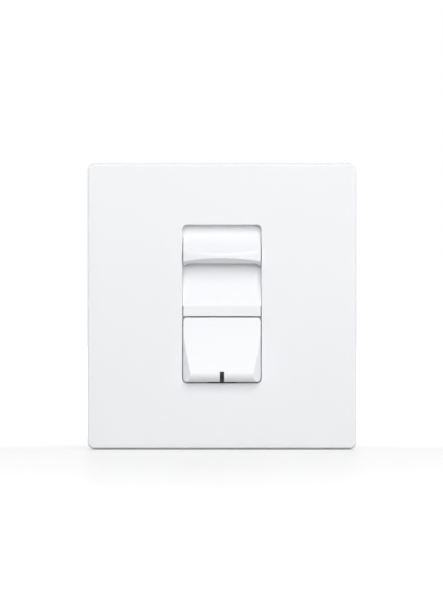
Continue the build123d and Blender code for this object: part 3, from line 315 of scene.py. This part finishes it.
class Value:
    """A shader socket that can stand in a Python expression."""

    def __init__(self, nodes, socket):
        self.nodes = nodes
        self.socket = socket

    def math(self, operation, first, second):
        return self.nodes.node("ShaderNodeMath", {"operation": operation}, {0: first, 1: second})

    def __add__(self, other):
        return self.math("ADD", self, other)

    def __radd__(self, other):
        return self.math("ADD", other, self)

    def __sub__(self, other):
        return self.math("SUBTRACT", self, other)

    def __rsub__(self, other):
        return self.math("SUBTRACT", other, self)

    def __mul__(self, other):
        return self.math("MULTIPLY", self, other)

    def __rmul__(self, other):
        return self.math("MULTIPLY", other, self)

    def __gt__(self, other):
        return self.math("GREATER_THAN", self, other)

    def __lt__(self, other):
        return self.math("LESS_THAN", self, other)

    def or_larger(self, other):
        """The larger of two values."""
        return self.math("MAXIMUM", self, other)

    def sine(self):
        """The sine of an angle in radians."""
        return self.nodes.node("ShaderNodeMath", {"operation": "SINE"}, {0: self})


class Nodes:
    """A node tree and the one method that adds nodes to it."""

    def __init__(self, tree):
        self.tree = tree

    def node(self, kind, settings, sockets, output=0):
        """Add a node, set it up, fill its sockets and return one of its outputs."""
        node = self.tree.nodes.new(kind)
        for name, value in settings.items():
            if name == "stops":
                fill_ramp(node.color_ramp, value)
            else:
                setattr(node, name, value)
        for name, value in sockets.items():
            if isinstance(value, Value):
                self.tree.links.new(value.socket, node.inputs[name])
            else:
                node.inputs[name].default_value = value
        return Value(self, node.outputs[output])

    def light_path(self, kind):
        """1 where light of this kind meets the surface, otherwise 0."""
        return self.node("ShaderNodeLightPath", {}, {}, kind)


class Finish(Nodes):
    """A new material with its surface shader and the helpers that add nodes to it.

    Extra keywords set the shader's own sockets, with _ for each space in their names.
    """

    def __init__(self, name, colour, roughness, metallic=0.0, **uniform):
        self.material = bpy.data.materials.new(name)
        self.material.use_nodes = True
        super().__init__(self.material.node_tree)
        self.surface = self.tree.nodes["Principled BSDF"]
        self.colour = opaque(colour)
        self.surface.inputs["Base Color"].default_value = self.colour
        self.surface.inputs["Roughness"].default_value = roughness
        self.surface.inputs["Metallic"].default_value = metallic
        for socket_name, value in uniform.items():
            self.surface.inputs[socket_name.replace("_", " ")].default_value = value
        self.place = self.node("ShaderNodeTexCoord", {}, {}, "Object")

    def feed(self, socket_name, value):
        """Link a varying value to a socket of the surface shader."""
        self.tree.links.new(value.socket, self.surface.inputs[socket_name])

    def noise(self, scale, detail, stretch=(1.0, 1.0, 1.0)):
        """Smooth noise from 0 to 1 in object space, with this many cells a metre."""
        place = self.node("ShaderNodeMapping", {}, {"Vector": self.place, "Scale": stretch})
        return self.node(
            "ShaderNodeTexNoise", {}, {"Vector": place, "Scale": scale, "Detail": detail}
        )

    def blend(self, mask, first, second):
        """A colour between two others."""
        return self.node(
            "ShaderNodeMix", {"data_type": "RGBA"}, {0: mask, 6: first, 7: second}, 2
        )

    def shade(self, factor):
        """The material's own colour made darker or lighter."""
        return opaque(min(channel * factor, 1.0) for channel in self.colour[:3])

    def axis(self, name):
        """One coordinate of the surface in object space."""
        return self.node("ShaderNodeSeparateXYZ", {}, {"Vector": self.place}, name)

    def rise(self, value, start, end):
        """A smooth step from 0 to 1 while the value goes from its start to its end."""
        return self.node(
            "ShaderNodeMapRange",
            {"interpolation_type": "SMOOTHSTEP"},
            {"Value": value, "From Min": start, "From Max": end},
        )

    def relief(self, height, distance, strength):
        """Feed a bump of this height in metres to the surface."""
        bump = self.node(
            "ShaderNodeBump", {}, {"Height": height, "Distance": distance, "Strength": strength}
        )
        self.feed("Normal", bump)


def opaque(colour):
    """A colour with its alpha, as a shader socket takes it."""
    return tuple(colour) + (1.0,)


def fill_ramp(ramp, stops):
    """Set a colour ramp's stops from pairs of a position and a colour."""
    ramp.interpolation = "CONSTANT"
    while len(ramp.elements) < len(stops):
        ramp.elements.new(1.0)
    for element, (position, colour) in zip(ramp.elements, stops):
        element.position = position
        element.color = opaque(colour)


# Materials


def moulded_plastic(name, colour, roughness):
    """Glossy injection-moulded plastic with a fine mould texture and faint flow shades."""
    finish = Finish(name, colour, roughness, Specular_IOR_Level=0.3)
    flow = finish.noise(scale=26.0, detail=2.0, stretch=(1.0, 1.0, 0.45))
    grain = finish.noise(scale=5200.0, detail=2.0)
    finish.feed("Base Color", finish.blend(flow, finish.shade(0.992), finish.shade(1.008)))
    finish.feed("Roughness", roughness - 0.04 + 0.05 * flow + 0.04 * grain)
    finish.relief(grain, distance=0.006 * MM, strength=0.6)
    return finish.material


def matte_plastic(name, colour, roughness, grain_scale=2600.0):
    """Dull moulded plastic with the pitted texture of an eroded mould."""
    finish = Finish(name, colour, roughness)
    pits = finish.noise(scale=grain_scale, detail=3.0)
    cloud = finish.noise(scale=70.0, detail=3.0)
    finish.feed("Base Color", finish.blend(cloud, finish.shade(0.85), finish.shade(1.2)))
    finish.feed("Roughness", roughness - 0.08 + 0.16 * pits)
    finish.relief(pits, distance=0.02 * MM, strength=0.8)
    return finish.material


def smoked_lens(name, colour):
    """Dark satin plastic, a little uneven like a moulded lens."""
    finish = Finish(name, colour, 0.5, Specular_IOR_Level=0.2)
    wave = finish.noise(scale=900.0, detail=1.0)
    finish.feed("Base Color", finish.blend(wave, finish.shade(0.9), finish.shade(1.15)))
    finish.feed("Roughness", 0.46 + 0.08 * wave)
    finish.relief(wave, distance=0.003 * MM, strength=0.5)
    return finish.material


def rolled_metal(name, colour, roughness, stretch):
    """Sheet metal with a rolling grain along the axis of the smallest stretch."""
    finish = Finish(name, colour, roughness, metallic=1.0)
    grain = finish.noise(scale=60.0, detail=5.0, stretch=stretch)
    cloud = finish.noise(scale=40.0, detail=3.0)
    finish.feed("Base Color", finish.blend(cloud, finish.shade(0.93), finish.shade(1.05)))
    finish.feed("Roughness", roughness - 0.08 + 0.16 * grain)
    finish.relief(grain, distance=0.012 * MM, strength=0.5)
    return finish.material


def plated_metal(name, colour, roughness, stain):
    """Turned or stamped metal with fine scratches and a stain that gathers in patches."""
    finish = Finish(name, colour, roughness, metallic=1.0)
    scratches = finish.noise(scale=1900.0, detail=4.0, stretch=(1.0, 0.2, 1.0))
    patches = finish.noise(scale=260.0, detail=4.0)
    finish.feed("Base Color", finish.blend(patches, finish.shade(stain), finish.shade(1.06)))
    finish.feed("Roughness", roughness - 0.1 + 0.14 * patches + 0.08 * scratches)
    finish.relief(scratches, distance=0.006 * MM, strength=0.5)
    return finish.material


def clear_resin(name, colour):
    """Tinted clear resin of the lamp."""
    finish = Finish(name, colour, 0.1, Transmission_Weight=0.55, IOR=1.52)
    haze = finish.noise(scale=700.0, detail=2.0)
    finish.feed("Base Color", finish.blend(haze, finish.shade(0.94), finish.shade(1.08)))
    finish.feed("Roughness", 0.06 + 0.1 * haze)
    return finish.material


def board_laminate(name, colour):
    """Circuit board: lacquer over a glass weave, with copper tracks showing through."""
    finish = Finish(name, colour, 0.38)
    across = finish.axis("X")
    upward = finish.axis("Z")
    weave = finish.node(
        "ShaderNodeTexBrick",
        {},
        {"Vector": finish.place, "Scale": 900.0, "Mortar Size": 0.04},
        "Fac",
    )
    wander = finish.noise(scale=120.0, detail=1.0)
    lane = (across * 1700.0 + wander * 9.0).sine()
    cross = (upward * 420.0 + wander * 7.0).sine()
    tracks = (lane > 0.35) * (cross > -0.55)
    track_colour = finish.blend(weave, finish.shade(1.75), finish.shade(1.5))
    bare_colour = finish.blend(weave, finish.shade(1.0), finish.shade(0.82))
    finish.feed("Base Color", finish.blend(tracks, bare_colour, track_colour))
    finish.feed("Roughness", 0.34 + 0.1 * wander)
    finish.relief(tracks + weave * 0.1, distance=0.03 * MM, strength=0.8)
    return finish.material


def banded_coat(name, colour, centre, bands):
    """Lacquered body with coloured bands across the X axis, round a centre."""
    finish = Finish(name, colour, 0.4)
    share = (finish.axis("X") - centre) * (1.0 / BAND_SPREAD) + 0.5
    ramp = finish.node("ShaderNodeValToRGB", {"stops": bands}, {0: share}, "Color")
    cloud = finish.noise(scale=1500.0, detail=3.0)
    finish.feed("Base Color", finish.blend(cloud * 0.2, ramp, finish.shade(0.7)))
    finish.feed("Roughness", 0.32 + 0.16 * cloud)
    finish.relief(cloud, distance=0.01 * MM, strength=0.5)
    return finish.material


def enamelled_copper(name):
    """Copper wire under clear enamel, a little darker in patches."""
    finish = Finish(name, COPPER, 0.3, metallic=1.0, Coat_Weight=0.6, Coat_Roughness=0.1)
    patches = finish.noise(scale=600.0, detail=3.0)
    finish.feed("Base Color", finish.blend(patches, finish.shade(0.72), finish.shade(1.15)))
    finish.feed("Roughness", 0.22 + 0.16 * patches)
    return finish.material


def pale_floor(name, colour, near_glow, back_glow):
    """Faintly glossy floor that the camera alone sees lit up, most of all behind and far away."""
    finish = Finish(name, colour, 0.3, IOR=1.45, Emission_Strength=1.0)
    cloud = finish.noise(scale=3.0, detail=2.0)
    finish.feed("Base Color", finish.blend(cloud, finish.shade(0.995), finish.shade(1.005)))
    finish.feed("Roughness", 0.28 + 0.02 * cloud)
    behind = finish.rise(finish.axis("Y"), *GLOW_BEHIND)
    distance = finish.node(
        "ShaderNodeVectorMath", {"operation": "LENGTH"}, {0: finish.place}, "Value"
    )
    away = behind.or_larger(finish.rise(distance, *GLOW_FAR))
    glow = finish.blend(away, opaque((near_glow,) * 3), opaque((back_glow,) * 3))
    seen = finish.light_path("Is Camera Ray")
    finish.feed("Emission Color", finish.blend(seen, opaque((0.0, 0.0, 0.0)), glow))
    return finish.material


# Modelling


def clear_selection():
    """Leave object mode selected on nothing."""
    if bpy.context.object and bpy.context.object.mode != "OBJECT":
        bpy.ops.object.mode_set(mode="OBJECT")
    bpy.ops.object.select_all(action="DESELECT")


def pick(*objects):
    """Select these objects alone, the first of them active."""
    clear_selection()
    for item in objects:
        item.select_set(True)
    bpy.context.view_layer.objects.active = objects[0]


def settle(piece):
    """Put the piece's place into its mesh, so that its object sits at the origin."""
    pick(piece)
    bpy.ops.object.transform_apply(location=True, rotation=True, scale=True)


def add_modifier(piece, kind, **settings):
    """Add a modifier, set it up and apply it."""
    pick(piece)
    modifier = piece.modifiers.new(kind.title(), kind)
    for name, value in settings.items():
        setattr(modifier, name, value)
    bpy.ops.object.modifier_apply(modifier=modifier.name)


def select_points(piece, wanted):
    """In edit mode, select the vertices whose places pass a test."""
    mesh = bmesh.from_edit_mesh(piece.data)
    for vertex in mesh.verts:
        vertex.select = wanted(vertex.co)
    mesh.select_flush_mode()
    bmesh.update_edit_mesh(piece.data)


def close_and_face_out(piece):
    """Close open ends and turn all faces outwards."""
    pick(piece)
    bpy.ops.object.mode_set(mode="EDIT")
    bpy.ops.mesh.select_mode(type="VERT")
    bpy.ops.mesh.select_all(action="SELECT")
    bpy.ops.mesh.fill_holes(sides=0)
    bpy.ops.mesh.select_all(action="SELECT")
    bpy.ops.mesh.normals_make_consistent(inside=False)
    bpy.ops.object.mode_set(mode="OBJECT")


def joined(pieces, name):
    """Join the pieces into the first one and name it."""
    pick(*pieces)
    if len(pieces) > 1:
        bpy.ops.object.join()
    piece = bpy.context.view_layer.objects.active
    piece.name = name
    piece.data.name = name
    return piece


def copy_of(piece):
    """A copy with a mesh of its own."""
    twin = piece.copy()
    twin.data = piece.data.copy()
    bpy.context.collection.objects.link(twin)
    return twin


def dress(piece, material, smooth_angle):
    """Give the piece its only material and smooth shading up to an angle in degrees."""
    piece.data.materials.clear()
    piece.data.materials.append(material)
    pick(piece)
    bpy.ops.object.shade_smooth_by_angle(angle=math.radians(smooth_angle))


def paint(material, *nodes):
    """Give CAD nodes a material in their own slots."""
    for name in nodes:
        for material_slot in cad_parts[name].material_slots:
            material_slot.material = material


def coil(section_radius, section_points, radius, rise, turns, turn_steps):
    """A wire or ridge wound round the Z axis from height 0, with closed ends."""
    clear_selection()
    bpy.ops.mesh.primitive_circle_add(
        vertices=section_points,
        radius=section_radius,
        location=(radius, 0, 0),
        rotation=(math.pi / 2, math.pi / 2, 0),
    )
    section = bpy.context.object
    settle(section)
    whole_turns = math.ceil(turns)
    add_modifier(
        section,
        "SCREW",
        angle=2 * math.pi * turns / whole_turns,
        screw_offset=rise / whole_turns,
        iterations=whole_turns,
        steps=turn_steps,
        render_steps=turn_steps,
    )
    close_and_face_out(section)
    return section


def place_along_y(piece, x, y, z):
    """Turn a piece that was made along +Z so that it runs along +Y, and move it."""
    piece.matrix_world = Matrix.Translation((x, y, z)) @ Matrix.Rotation(-math.pi / 2, 4, "X")
    bpy.context.view_layer.update()
    settle(piece)


# Pieces that are modelled here


def threaded_screw(length, radius, head_radius, head_height, neck, pitch, depth):
    """A slotted machine screw along +Z: head below 0, plain neck from 0 on, then the thread."""
    slot_width = 1.0 * MM
    head_rounding = head_height / 5
    clear_selection()
    bpy.ops.mesh.primitive_cylinder_add(
        vertices=32, radius=radius - depth, depth=length, location=(0, 0, length / 2)
    )
    shank = bpy.context.object
    bpy.ops.object.mode_set(mode="EDIT")
    bpy.ops.mesh.select_mode(type="VERT")
    select_points(shank, lambda point: point.z > 0)
    bpy.ops.mesh.bevel(offset=depth, offset_pct=0, segments=2, affect="EDGES")
    bpy.ops.object.mode_set(mode="OBJECT")
    settle(shank)
    ridge = thread_ridge(length - neck, radius, pitch, depth)
    ridge.location.z = neck + depth
    settle(ridge)
    bpy.ops.mesh.primitive_cylinder_add(
        vertices=48, radius=head_radius, depth=head_height, location=(0, 0, -head_height / 2)
    )
    head = bpy.context.object
    add_modifier(head, "BEVEL", width=head_rounding, segments=4, limit_method="ANGLE")
    settle(head)
    bpy.ops.mesh.primitive_cube_add(size=1, location=(0, 0, -head_height))
    cutter = bpy.context.object
    cutter.scale = (3 * head_radius, slot_width, head_height)
    settle(cutter)
    add_modifier(head, "BOOLEAN", operation="DIFFERENCE", object=cutter)
    bpy.data.objects.remove(cutter)
    return joined([shank, ridge, head], "threaded_screw")


def thread_ridge(length, radius, pitch, depth):
    """The wound ridge of a thread, with one depth left free at each end of its length."""
    # Height of a regular triangle, as a share of the radius of the circle round it
    triangle_height = 1.5
    section_radius = depth / triangle_height
    turns = (length - 2 * depth) / pitch
    return coil(
        section_radius,
        section_points=3,
        radius=radius - section_radius,
        rise=turns * pitch,
        turns=turns,
        turn_steps=32,
    )


def model_box_screws(sizes, material):
    """The two screws to the wall box, threaded from the wall plane at 0 on."""
    low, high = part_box("box_screws")
    sink_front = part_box("heat_sink")[0].y
    head_radius = (high.x - low.x) / 2
    spacing = high.z - low.z - 2 * head_radius
    first = threaded_screw(
        length=high.y - sink_front,
        radius=sizes.thread_radius,
        head_radius=head_radius,
        head_height=sink_front - low.y,
        neck=-sink_front,
        pitch=sizes.thread_pitch,
        depth=sizes.thread_depth,
    )
    second = copy_of(first)
    place_along_y(first, 0, sink_front, spacing / 2)
    place_along_y(second, 0, sink_front, -spacing / 2)
    screws = joined([first, second], "box_screws_threaded")
    dress(screws, material, smooth_angle=30.0)
    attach(screws, ROOT_BODY)
    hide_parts("box_screws")


def model_spring(node, material, wire, turns, count):
    """Coil springs in the place of a CAD node."""
    low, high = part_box(node)
    radius = (high.z - low.z - wire) / 2
    rise = high.y - low.y - wire
    centre_z = (low.z + high.z) / 2
    spread = high.x - low.x - 2 * radius - wire
    first = coil(wire / 2, section_points=12, radius=radius, rise=rise, turns=turns, turn_steps=28)
    springs = [first] + [copy_of(first) for _ in range(count - 1)]
    for number, spring in enumerate(springs):
        x = (low.x + high.x) / 2 + spread * (number - (count - 1) / 2)
        place_along_y(spring, x, low.y + wire / 2, centre_z)
    piece = joined(springs, node + "_wound")
    dress(piece, material, smooth_angle=40.0)
    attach(piece, ROOT_BODY)
    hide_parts(node)
    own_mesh(piece)


def choke_turn(wire_radius, outer, inner, half_thickness):
    """One turn of wire round the core's section, in the XY plane to the right of the centre."""
    gap = 0.03 * MM
    bend = 1.2 * wire_radius
    # The drawn wire's thickness, as a share of the stated one
    drawn_share = 0.98
    tolerance = 1e-7
    clear_selection()
    bpy.ops.mesh.primitive_torus_add(
        major_radius=bend,
        minor_radius=wire_radius * drawn_share,
        major_segments=20,
        minor_segments=10,
    )
    turn = bpy.context.object
    reach_out = (outer - inner) / 2 + gap + wire_radius - bend
    reach_up = half_thickness + gap + wire_radius - bend
    bpy.ops.object.mode_set(mode="EDIT")
    bpy.ops.mesh.select_mode(type="VERT")
    for axis, reach in ((0, reach_out), (1, reach_up)):
        for side in (-1, 1):
            select_points(turn, lambda point: point[axis] * side > -tolerance)
            shift = [0.0, 0.0, 0.0]
            shift[axis] = side * reach
            bpy.ops.transform.translate(value=shift)
    bpy.ops.object.mode_set(mode="OBJECT")
    turn.location.x = (outer + inner) / 2
    settle(turn)
    return turn


def model_choke_winding(sizes, material):
    """Turns of wire wound through and round the choke's ring core."""
    core_low, core_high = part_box("choke_core")
    centre = (core_low + core_high) / 2
    first = choke_turn(
        wire_radius=sizes.choke_wire / 2,
        outer=(core_high.x - core_low.x) / 2,
        inner=sizes.choke_hole_radius,
        half_thickness=(core_high.y - core_low.y) / 2,
    )
    turns = [first] + [copy_of(first) for _ in range(sizes.choke_turns - 1)]
    for number, turn in enumerate(turns):
        angle = 2 * math.pi * number / sizes.choke_turns
        turn.matrix_world = Matrix.Translation(centre) @ Matrix.Rotation(angle, 4, "Y")
        bpy.context.view_layer.update()
        settle(turn)
    winding = joined(turns, "choke_wire_turns")
    dress(winding, material, smooth_angle=60.0)
    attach(winding, ROOT_BODY)
    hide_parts("choke_winding")


# Stage


def build_floor(colour, near_glow, back_glow):
    """A pale floor under the plate's lower edge."""
    clear_selection()
    floor_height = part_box("face_plate")[0].z
    bpy.ops.mesh.primitive_plane_add(size=FLOOR_SIDE, location=(0, 0, floor_height))
    floor = bpy.context.object
    floor.name = "floor"
    floor.data.materials.append(pale_floor("pale_floor", colour, near_glow, back_glow))
    settle(floor)


def build_world(scene, strength):
    """Even light from all round, which the camera, gloss and glass see as white."""
    world = bpy.data.worlds.new("studio")
    world.use_nodes = True
    scene.world = world
    nodes = Nodes(world.node_tree)
    background = nodes.tree.nodes["Background"]
    background.inputs["Color"].default_value = opaque((1.0, 1.0, 1.0))
    seen = nodes.light_path("Is Camera Ray")
    for kind in ("Is Glossy Ray", "Is Transmission Ray"):
        seen = seen.or_larger(nodes.light_path(kind))
    choice = nodes.node("ShaderNodeMix", {}, {0: seen, 2: strength, 3: 1.0})
    nodes.tree.links.new(choice.socket, background.inputs["Strength"])


def build_lamp(name, azimuth, elevation, distance, size, power):
    """One large soft lamp, aimed at the plate's middle and itself unseen by the camera."""
    clear_selection()
    level = math.cos(elevation)
    direction = Vector(
        (math.sin(azimuth) * level, -math.cos(azimuth) * level, math.sin(elevation))
    )
    bpy.ops.object.light_add(type="AREA", location=direction * distance)
    lamp = bpy.context.object
    lamp.name = name
    lamp.rotation_euler = direction.to_track_quat("Z", "Y").to_euler()
    lamp.data.shape = "SQUARE"
    lamp.data.size = size
    lamp.data.energy = power
    lamp.visible_camera = False


def build_camera(scene, stage):
    """A long lens straight in front of the plate, framed as the photograph."""
    clear_selection()
    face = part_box("face_plate")[0].y
    bpy.ops.object.camera_add(
        location=(stage.camera_side, -stage.camera_distance, stage.camera_height),
        rotation=(math.pi / 2, 0, 0),
    )
    camera = bpy.context.object
    camera.name = "camera"
    camera.data.sensor_fit = "VERTICAL"
    camera.data.lens = (
        camera.data.sensor_height * (stage.camera_distance + face) / stage.view_height
    )
    scene.camera = camera


# Operators


class DIMMER_OT_controls(Operator):
    """Give the wall plate, slider, channel and paddle their white plastic"""

    bl_idname = "dimmer.controls"
    bl_label = "Plate and controls"

    def execute(self, context):
        colour = context.scene.dimmer_colours.plastic
        plate = moulded_plastic("plate_plastic", colour, roughness=0.42)
        paint(plate, "face_plate")
        controls = moulded_plastic("control_plastic", colour, roughness=0.36)
        paint(controls, "slider_knob", "on_off_paddle")
        channel = moulded_plastic("channel_plastic", colour, roughness=0.4)
        paint(channel, "control_bezel")
        return {"FINISHED"}


class DIMMER_OT_locator(Operator):
    """Give the locator lens and its lamp their materials"""

    bl_idname = "dimmer.locator"
    bl_label = "Locator lens and lamp"

    def execute(self, context):
        paint(smoked_lens("smoked_plastic", context.scene.dimmer_colours.lens), "locator_lens")
        paint(clear_resin("lamp_resin", LAMP_GREEN), "locator_led")
        return {"FINISHED"}


class DIMMER_OT_heat_sink(Operator):
    """Give the heat sink its rolled aluminium"""

    bl_idname = "dimmer.heat_sink"
    bl_label = "Heat sink"

    def execute(self, context):
        colour = context.scene.dimmer_colours.aluminium
        sheet = rolled_metal(
            "rolled_aluminium", colour, roughness=0.38, stretch=(0.25, 12.0, 12.0)
        )
        paint(sheet, "heat_sink")
        return {"FINISHED"}


class DIMMER_OT_box_screws(Operator):
    """Model the threaded screws to the wall box"""

    bl_idname = "dimmer.box_screws"
    bl_label = "Box screws"

    def execute(self, context):
        scene = context.scene
        steel = plated_metal("zinc_plate", scene.dimmer_colours.steel, roughness=0.34, stain=0.8)
        model_box_screws(scene.dimmer_sizes, steel)
        return {"FINISHED"}


class DIMMER_OT_springs(Operator):
    """Wind the paddle's and the switch's springs"""

    bl_idname = "dimmer.springs"
    bl_label = "Springs"

    def execute(self, context):
        colour = context.scene.dimmer_colours.steel
        steel = plated_metal("spring_wire", colour, roughness=0.26, stain=0.85)
        model_spring(
            "paddle_springs",
            steel,
            wire=0.4 * MM,
            turns=5,
            count=2,
        )
        model_spring(
            "switch_spring",
            steel,
            wire=0.3 * MM,
            turns=4,
            count=1,
        )
        return {"FINISHED"}


class DIMMER_OT_fasteners(Operator):
    """Give the small screws, the rivet and the steel stampings their materials"""

    bl_idname = "dimmer.fasteners"
    bl_label = "Screws and stampings"

    def execute(self, context):
        steel = context.scene.dimmer_colours.steel
        screws = plated_metal("screw_plate", steel, roughness=0.32, stain=0.78)
        paint(screws, "bezel_screws", "board_screws", "triac_screw", "housing_screws")
        stampings = rolled_metal("tinned_sheet", steel, roughness=0.34, stretch=(6.0, 0.4, 6.0))
        paint(stampings, "slide_pot_can", "ground_strap", "ground_clamp", "strap_rivet")
        green = plated_metal("green_lacquer", LACQUER_GREEN, roughness=0.36, stain=0.7)
        paint(green, "ground_screw")
        return {"FINISHED"}


class DIMMER_OT_terminals(Operator):
    """Give the terminals and contacts their brass and bronze"""

    bl_idname = "dimmer.terminals"
    bl_label = "Terminals and contacts"

    def execute(self, context):
        colour = context.scene.dimmer_colours.brass
        brass = plated_metal("terminal_brass", colour, roughness=0.33, stain=0.75)
        paint(brass, "terminal_strips", "terminal_clamps", "terminal_screws")
        bronze = rolled_metal("spring_bronze", BRONZE, roughness=0.3, stretch=(5.0, 5.0, 0.5))
        paint(bronze, "slide_pot_wiper", "switch_bridge")
        silver = plated_metal("silvered_contact", SILVER, roughness=0.28, stain=0.8)
        paint(silver, "switch_contacts")
        return {"FINISHED"}


class DIMMER_OT_housing(Operator):
    """Give the back housing and the switch's body their dull black plastic"""

    bl_idname = "dimmer.housing"
    bl_label = "Back housing"

    def execute(self, context):
        colour = context.scene.dimmer_colours.housing
        housing = matte_plastic("housing_plastic", colour, roughness=0.56, grain_scale=1800.0)
        paint(housing, "back_housing")
        paint(matte_plastic("switch_plastic", colour, roughness=0.48), "switch_can")
        return {"FINISHED"}


class DIMMER_OT_slide_parts(Operator):
    """Give the slider's carriage, the lever, the plunger and the track their materials"""

    bl_idname = "dimmer.slide_parts"
    bl_label = "Slide parts"

    def execute(self, context):
        nylon = matte_plastic("natural_nylon", NYLON, roughness=0.45)
        paint(nylon, "slider_carriage", "slide_pot_lever", "switch_plunger")
        paint(matte_plastic("track_laminate", TRACK_BROWN, roughness=0.5), "slide_pot_track")
        return {"FINISHED"}


class DIMMER_OT_board_parts(Operator):
    """Give the circuit board and what stands on it their materials"""

    bl_idname = "dimmer.board_parts"
    bl_label = "Circuit board"

    def execute(self, context):
        paint(board_laminate("board_laminate", BOARD_GREEN), "circuit_board")
        epoxy = matte_plastic("mould_epoxy", EPOXY_BLACK, roughness=0.5, grain_scale=3400.0)
        paint(epoxy, "triac")
        paint(matte_plastic("thermal_pad", PAD_GREY, roughness=0.7), "triac_insulator")
        paint(matte_plastic("core_coat", CORE_YELLOW, roughness=0.55), "choke_core")
        film = matte_plastic("capacitor_film", FILM_AMBER, roughness=0.34, grain_scale=1200.0)
        paint(film, "filter_capacitor", "timing_capacitor")
        resistor_low, resistor_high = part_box("resistors")
        resistor_centre = (resistor_low.x + resistor_high.x) / 2
        resistor_coat = banded_coat("resistor_coat", RESISTOR_TAN, resistor_centre, RESISTOR_BANDS)
        paint(resistor_coat, "resistors")
        diac_low, diac_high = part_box("diac")
        diac_centre = (diac_low.x + diac_high.x) / 2
        paint(banded_coat("diac_coat", DIAC_BLUE, diac_centre, DIAC_BANDS), "diac")
        return {"FINISHED"}


class DIMMER_OT_choke(Operator):
    """Wind the choke's copper wire"""

    bl_idname = "dimmer.choke"
    bl_label = "Choke winding"

    def execute(self, context):
        model_choke_winding(context.scene.dimmer_sizes, enamelled_copper("enamelled_copper"))
        return {"FINISHED"}


class DIMMER_OT_stage(Operator):
    """Set up the floor, the light and the camera"""

    bl_idname = "dimmer.stage"
    bl_label = "Stage"

    def execute(self, context):
        stage = context.scene.dimmer_stage
        build_floor(context.scene.dimmer_colours.floor, stage.floor_glow, stage.back_glow)
        build_world(context.scene, stage.fill_strength)
        build_lamp(
            "key_lamp",
            stage.key_azimuth,
            stage.key_elevation,
            stage.key_distance,
            stage.key_size,
            stage.key_power,
        )
        for side in (-1, 1):
            build_lamp(
                "side_lamp",
                side * stage.side_azimuth,
                stage.side_elevation,
                stage.side_distance,
                stage.side_size,
                stage.side_power,
            )
        build_camera(context.scene, stage)
        context.scene.view_settings.view_transform = "Standard"
        return {"FINISHED"}


# Panel


class DIMMER_PT_sidebar(Panel):
    """Buttons that build the dimmer's looks, in order"""

    bl_idname = "DIMMER_PT_sidebar"
    bl_label = "Dimmer switch"
    bl_space_type = "VIEW_3D"
    bl_region_type = "UI"
    bl_category = "Dimmer"

    def draw(self, context):
        scene = context.scene
        for group in (scene.dimmer_colours, scene.dimmer_sizes, scene.dimmer_stage):
            for name in group.__annotations__:
                self.layout.prop(group, name)
        for operator in OPERATORS:
            self.layout.operator(operator.bl_idname)


GROUPS = {
    "dimmer_colours": DimmerColours,
    "dimmer_sizes": DimmerSizes,
    "dimmer_stage": DimmerStage,
}
OPERATORS = (
    DIMMER_OT_controls,
    DIMMER_OT_locator,
    DIMMER_OT_heat_sink,
    DIMMER_OT_box_screws,
    DIMMER_OT_springs,
    DIMMER_OT_fasteners,
    DIMMER_OT_terminals,
    DIMMER_OT_housing,
    DIMMER_OT_slide_parts,
    DIMMER_OT_board_parts,
    DIMMER_OT_choke,
    DIMMER_OT_stage,
)


def register():
    """Register the settings, the operators and the panel."""
    for name, group in GROUPS.items():
        bpy.utils.register_class(group)
        setattr(bpy.types.Scene, name, PointerProperty(type=group))
    for operator in OPERATORS:
        bpy.utils.register_class(operator)
    bpy.utils.register_class(DIMMER_PT_sidebar)


def unregister():
    """Remove what register added."""
    bpy.utils.unregister_class(DIMMER_PT_sidebar)
    for operator in reversed(OPERATORS):
        bpy.utils.unregister_class(operator)
    for name, group in GROUPS.items():
        delattr(bpy.types.Scene, name)
        bpy.utils.unregister_class(group)


def main():
    """Build everything in order."""
    register()
    for operator in OPERATORS:
        group, name = operator.bl_idname.split(".")
        getattr(getattr(bpy.ops, group), name)()
    clear_selection()


if __name__ == "__main__":
    main()
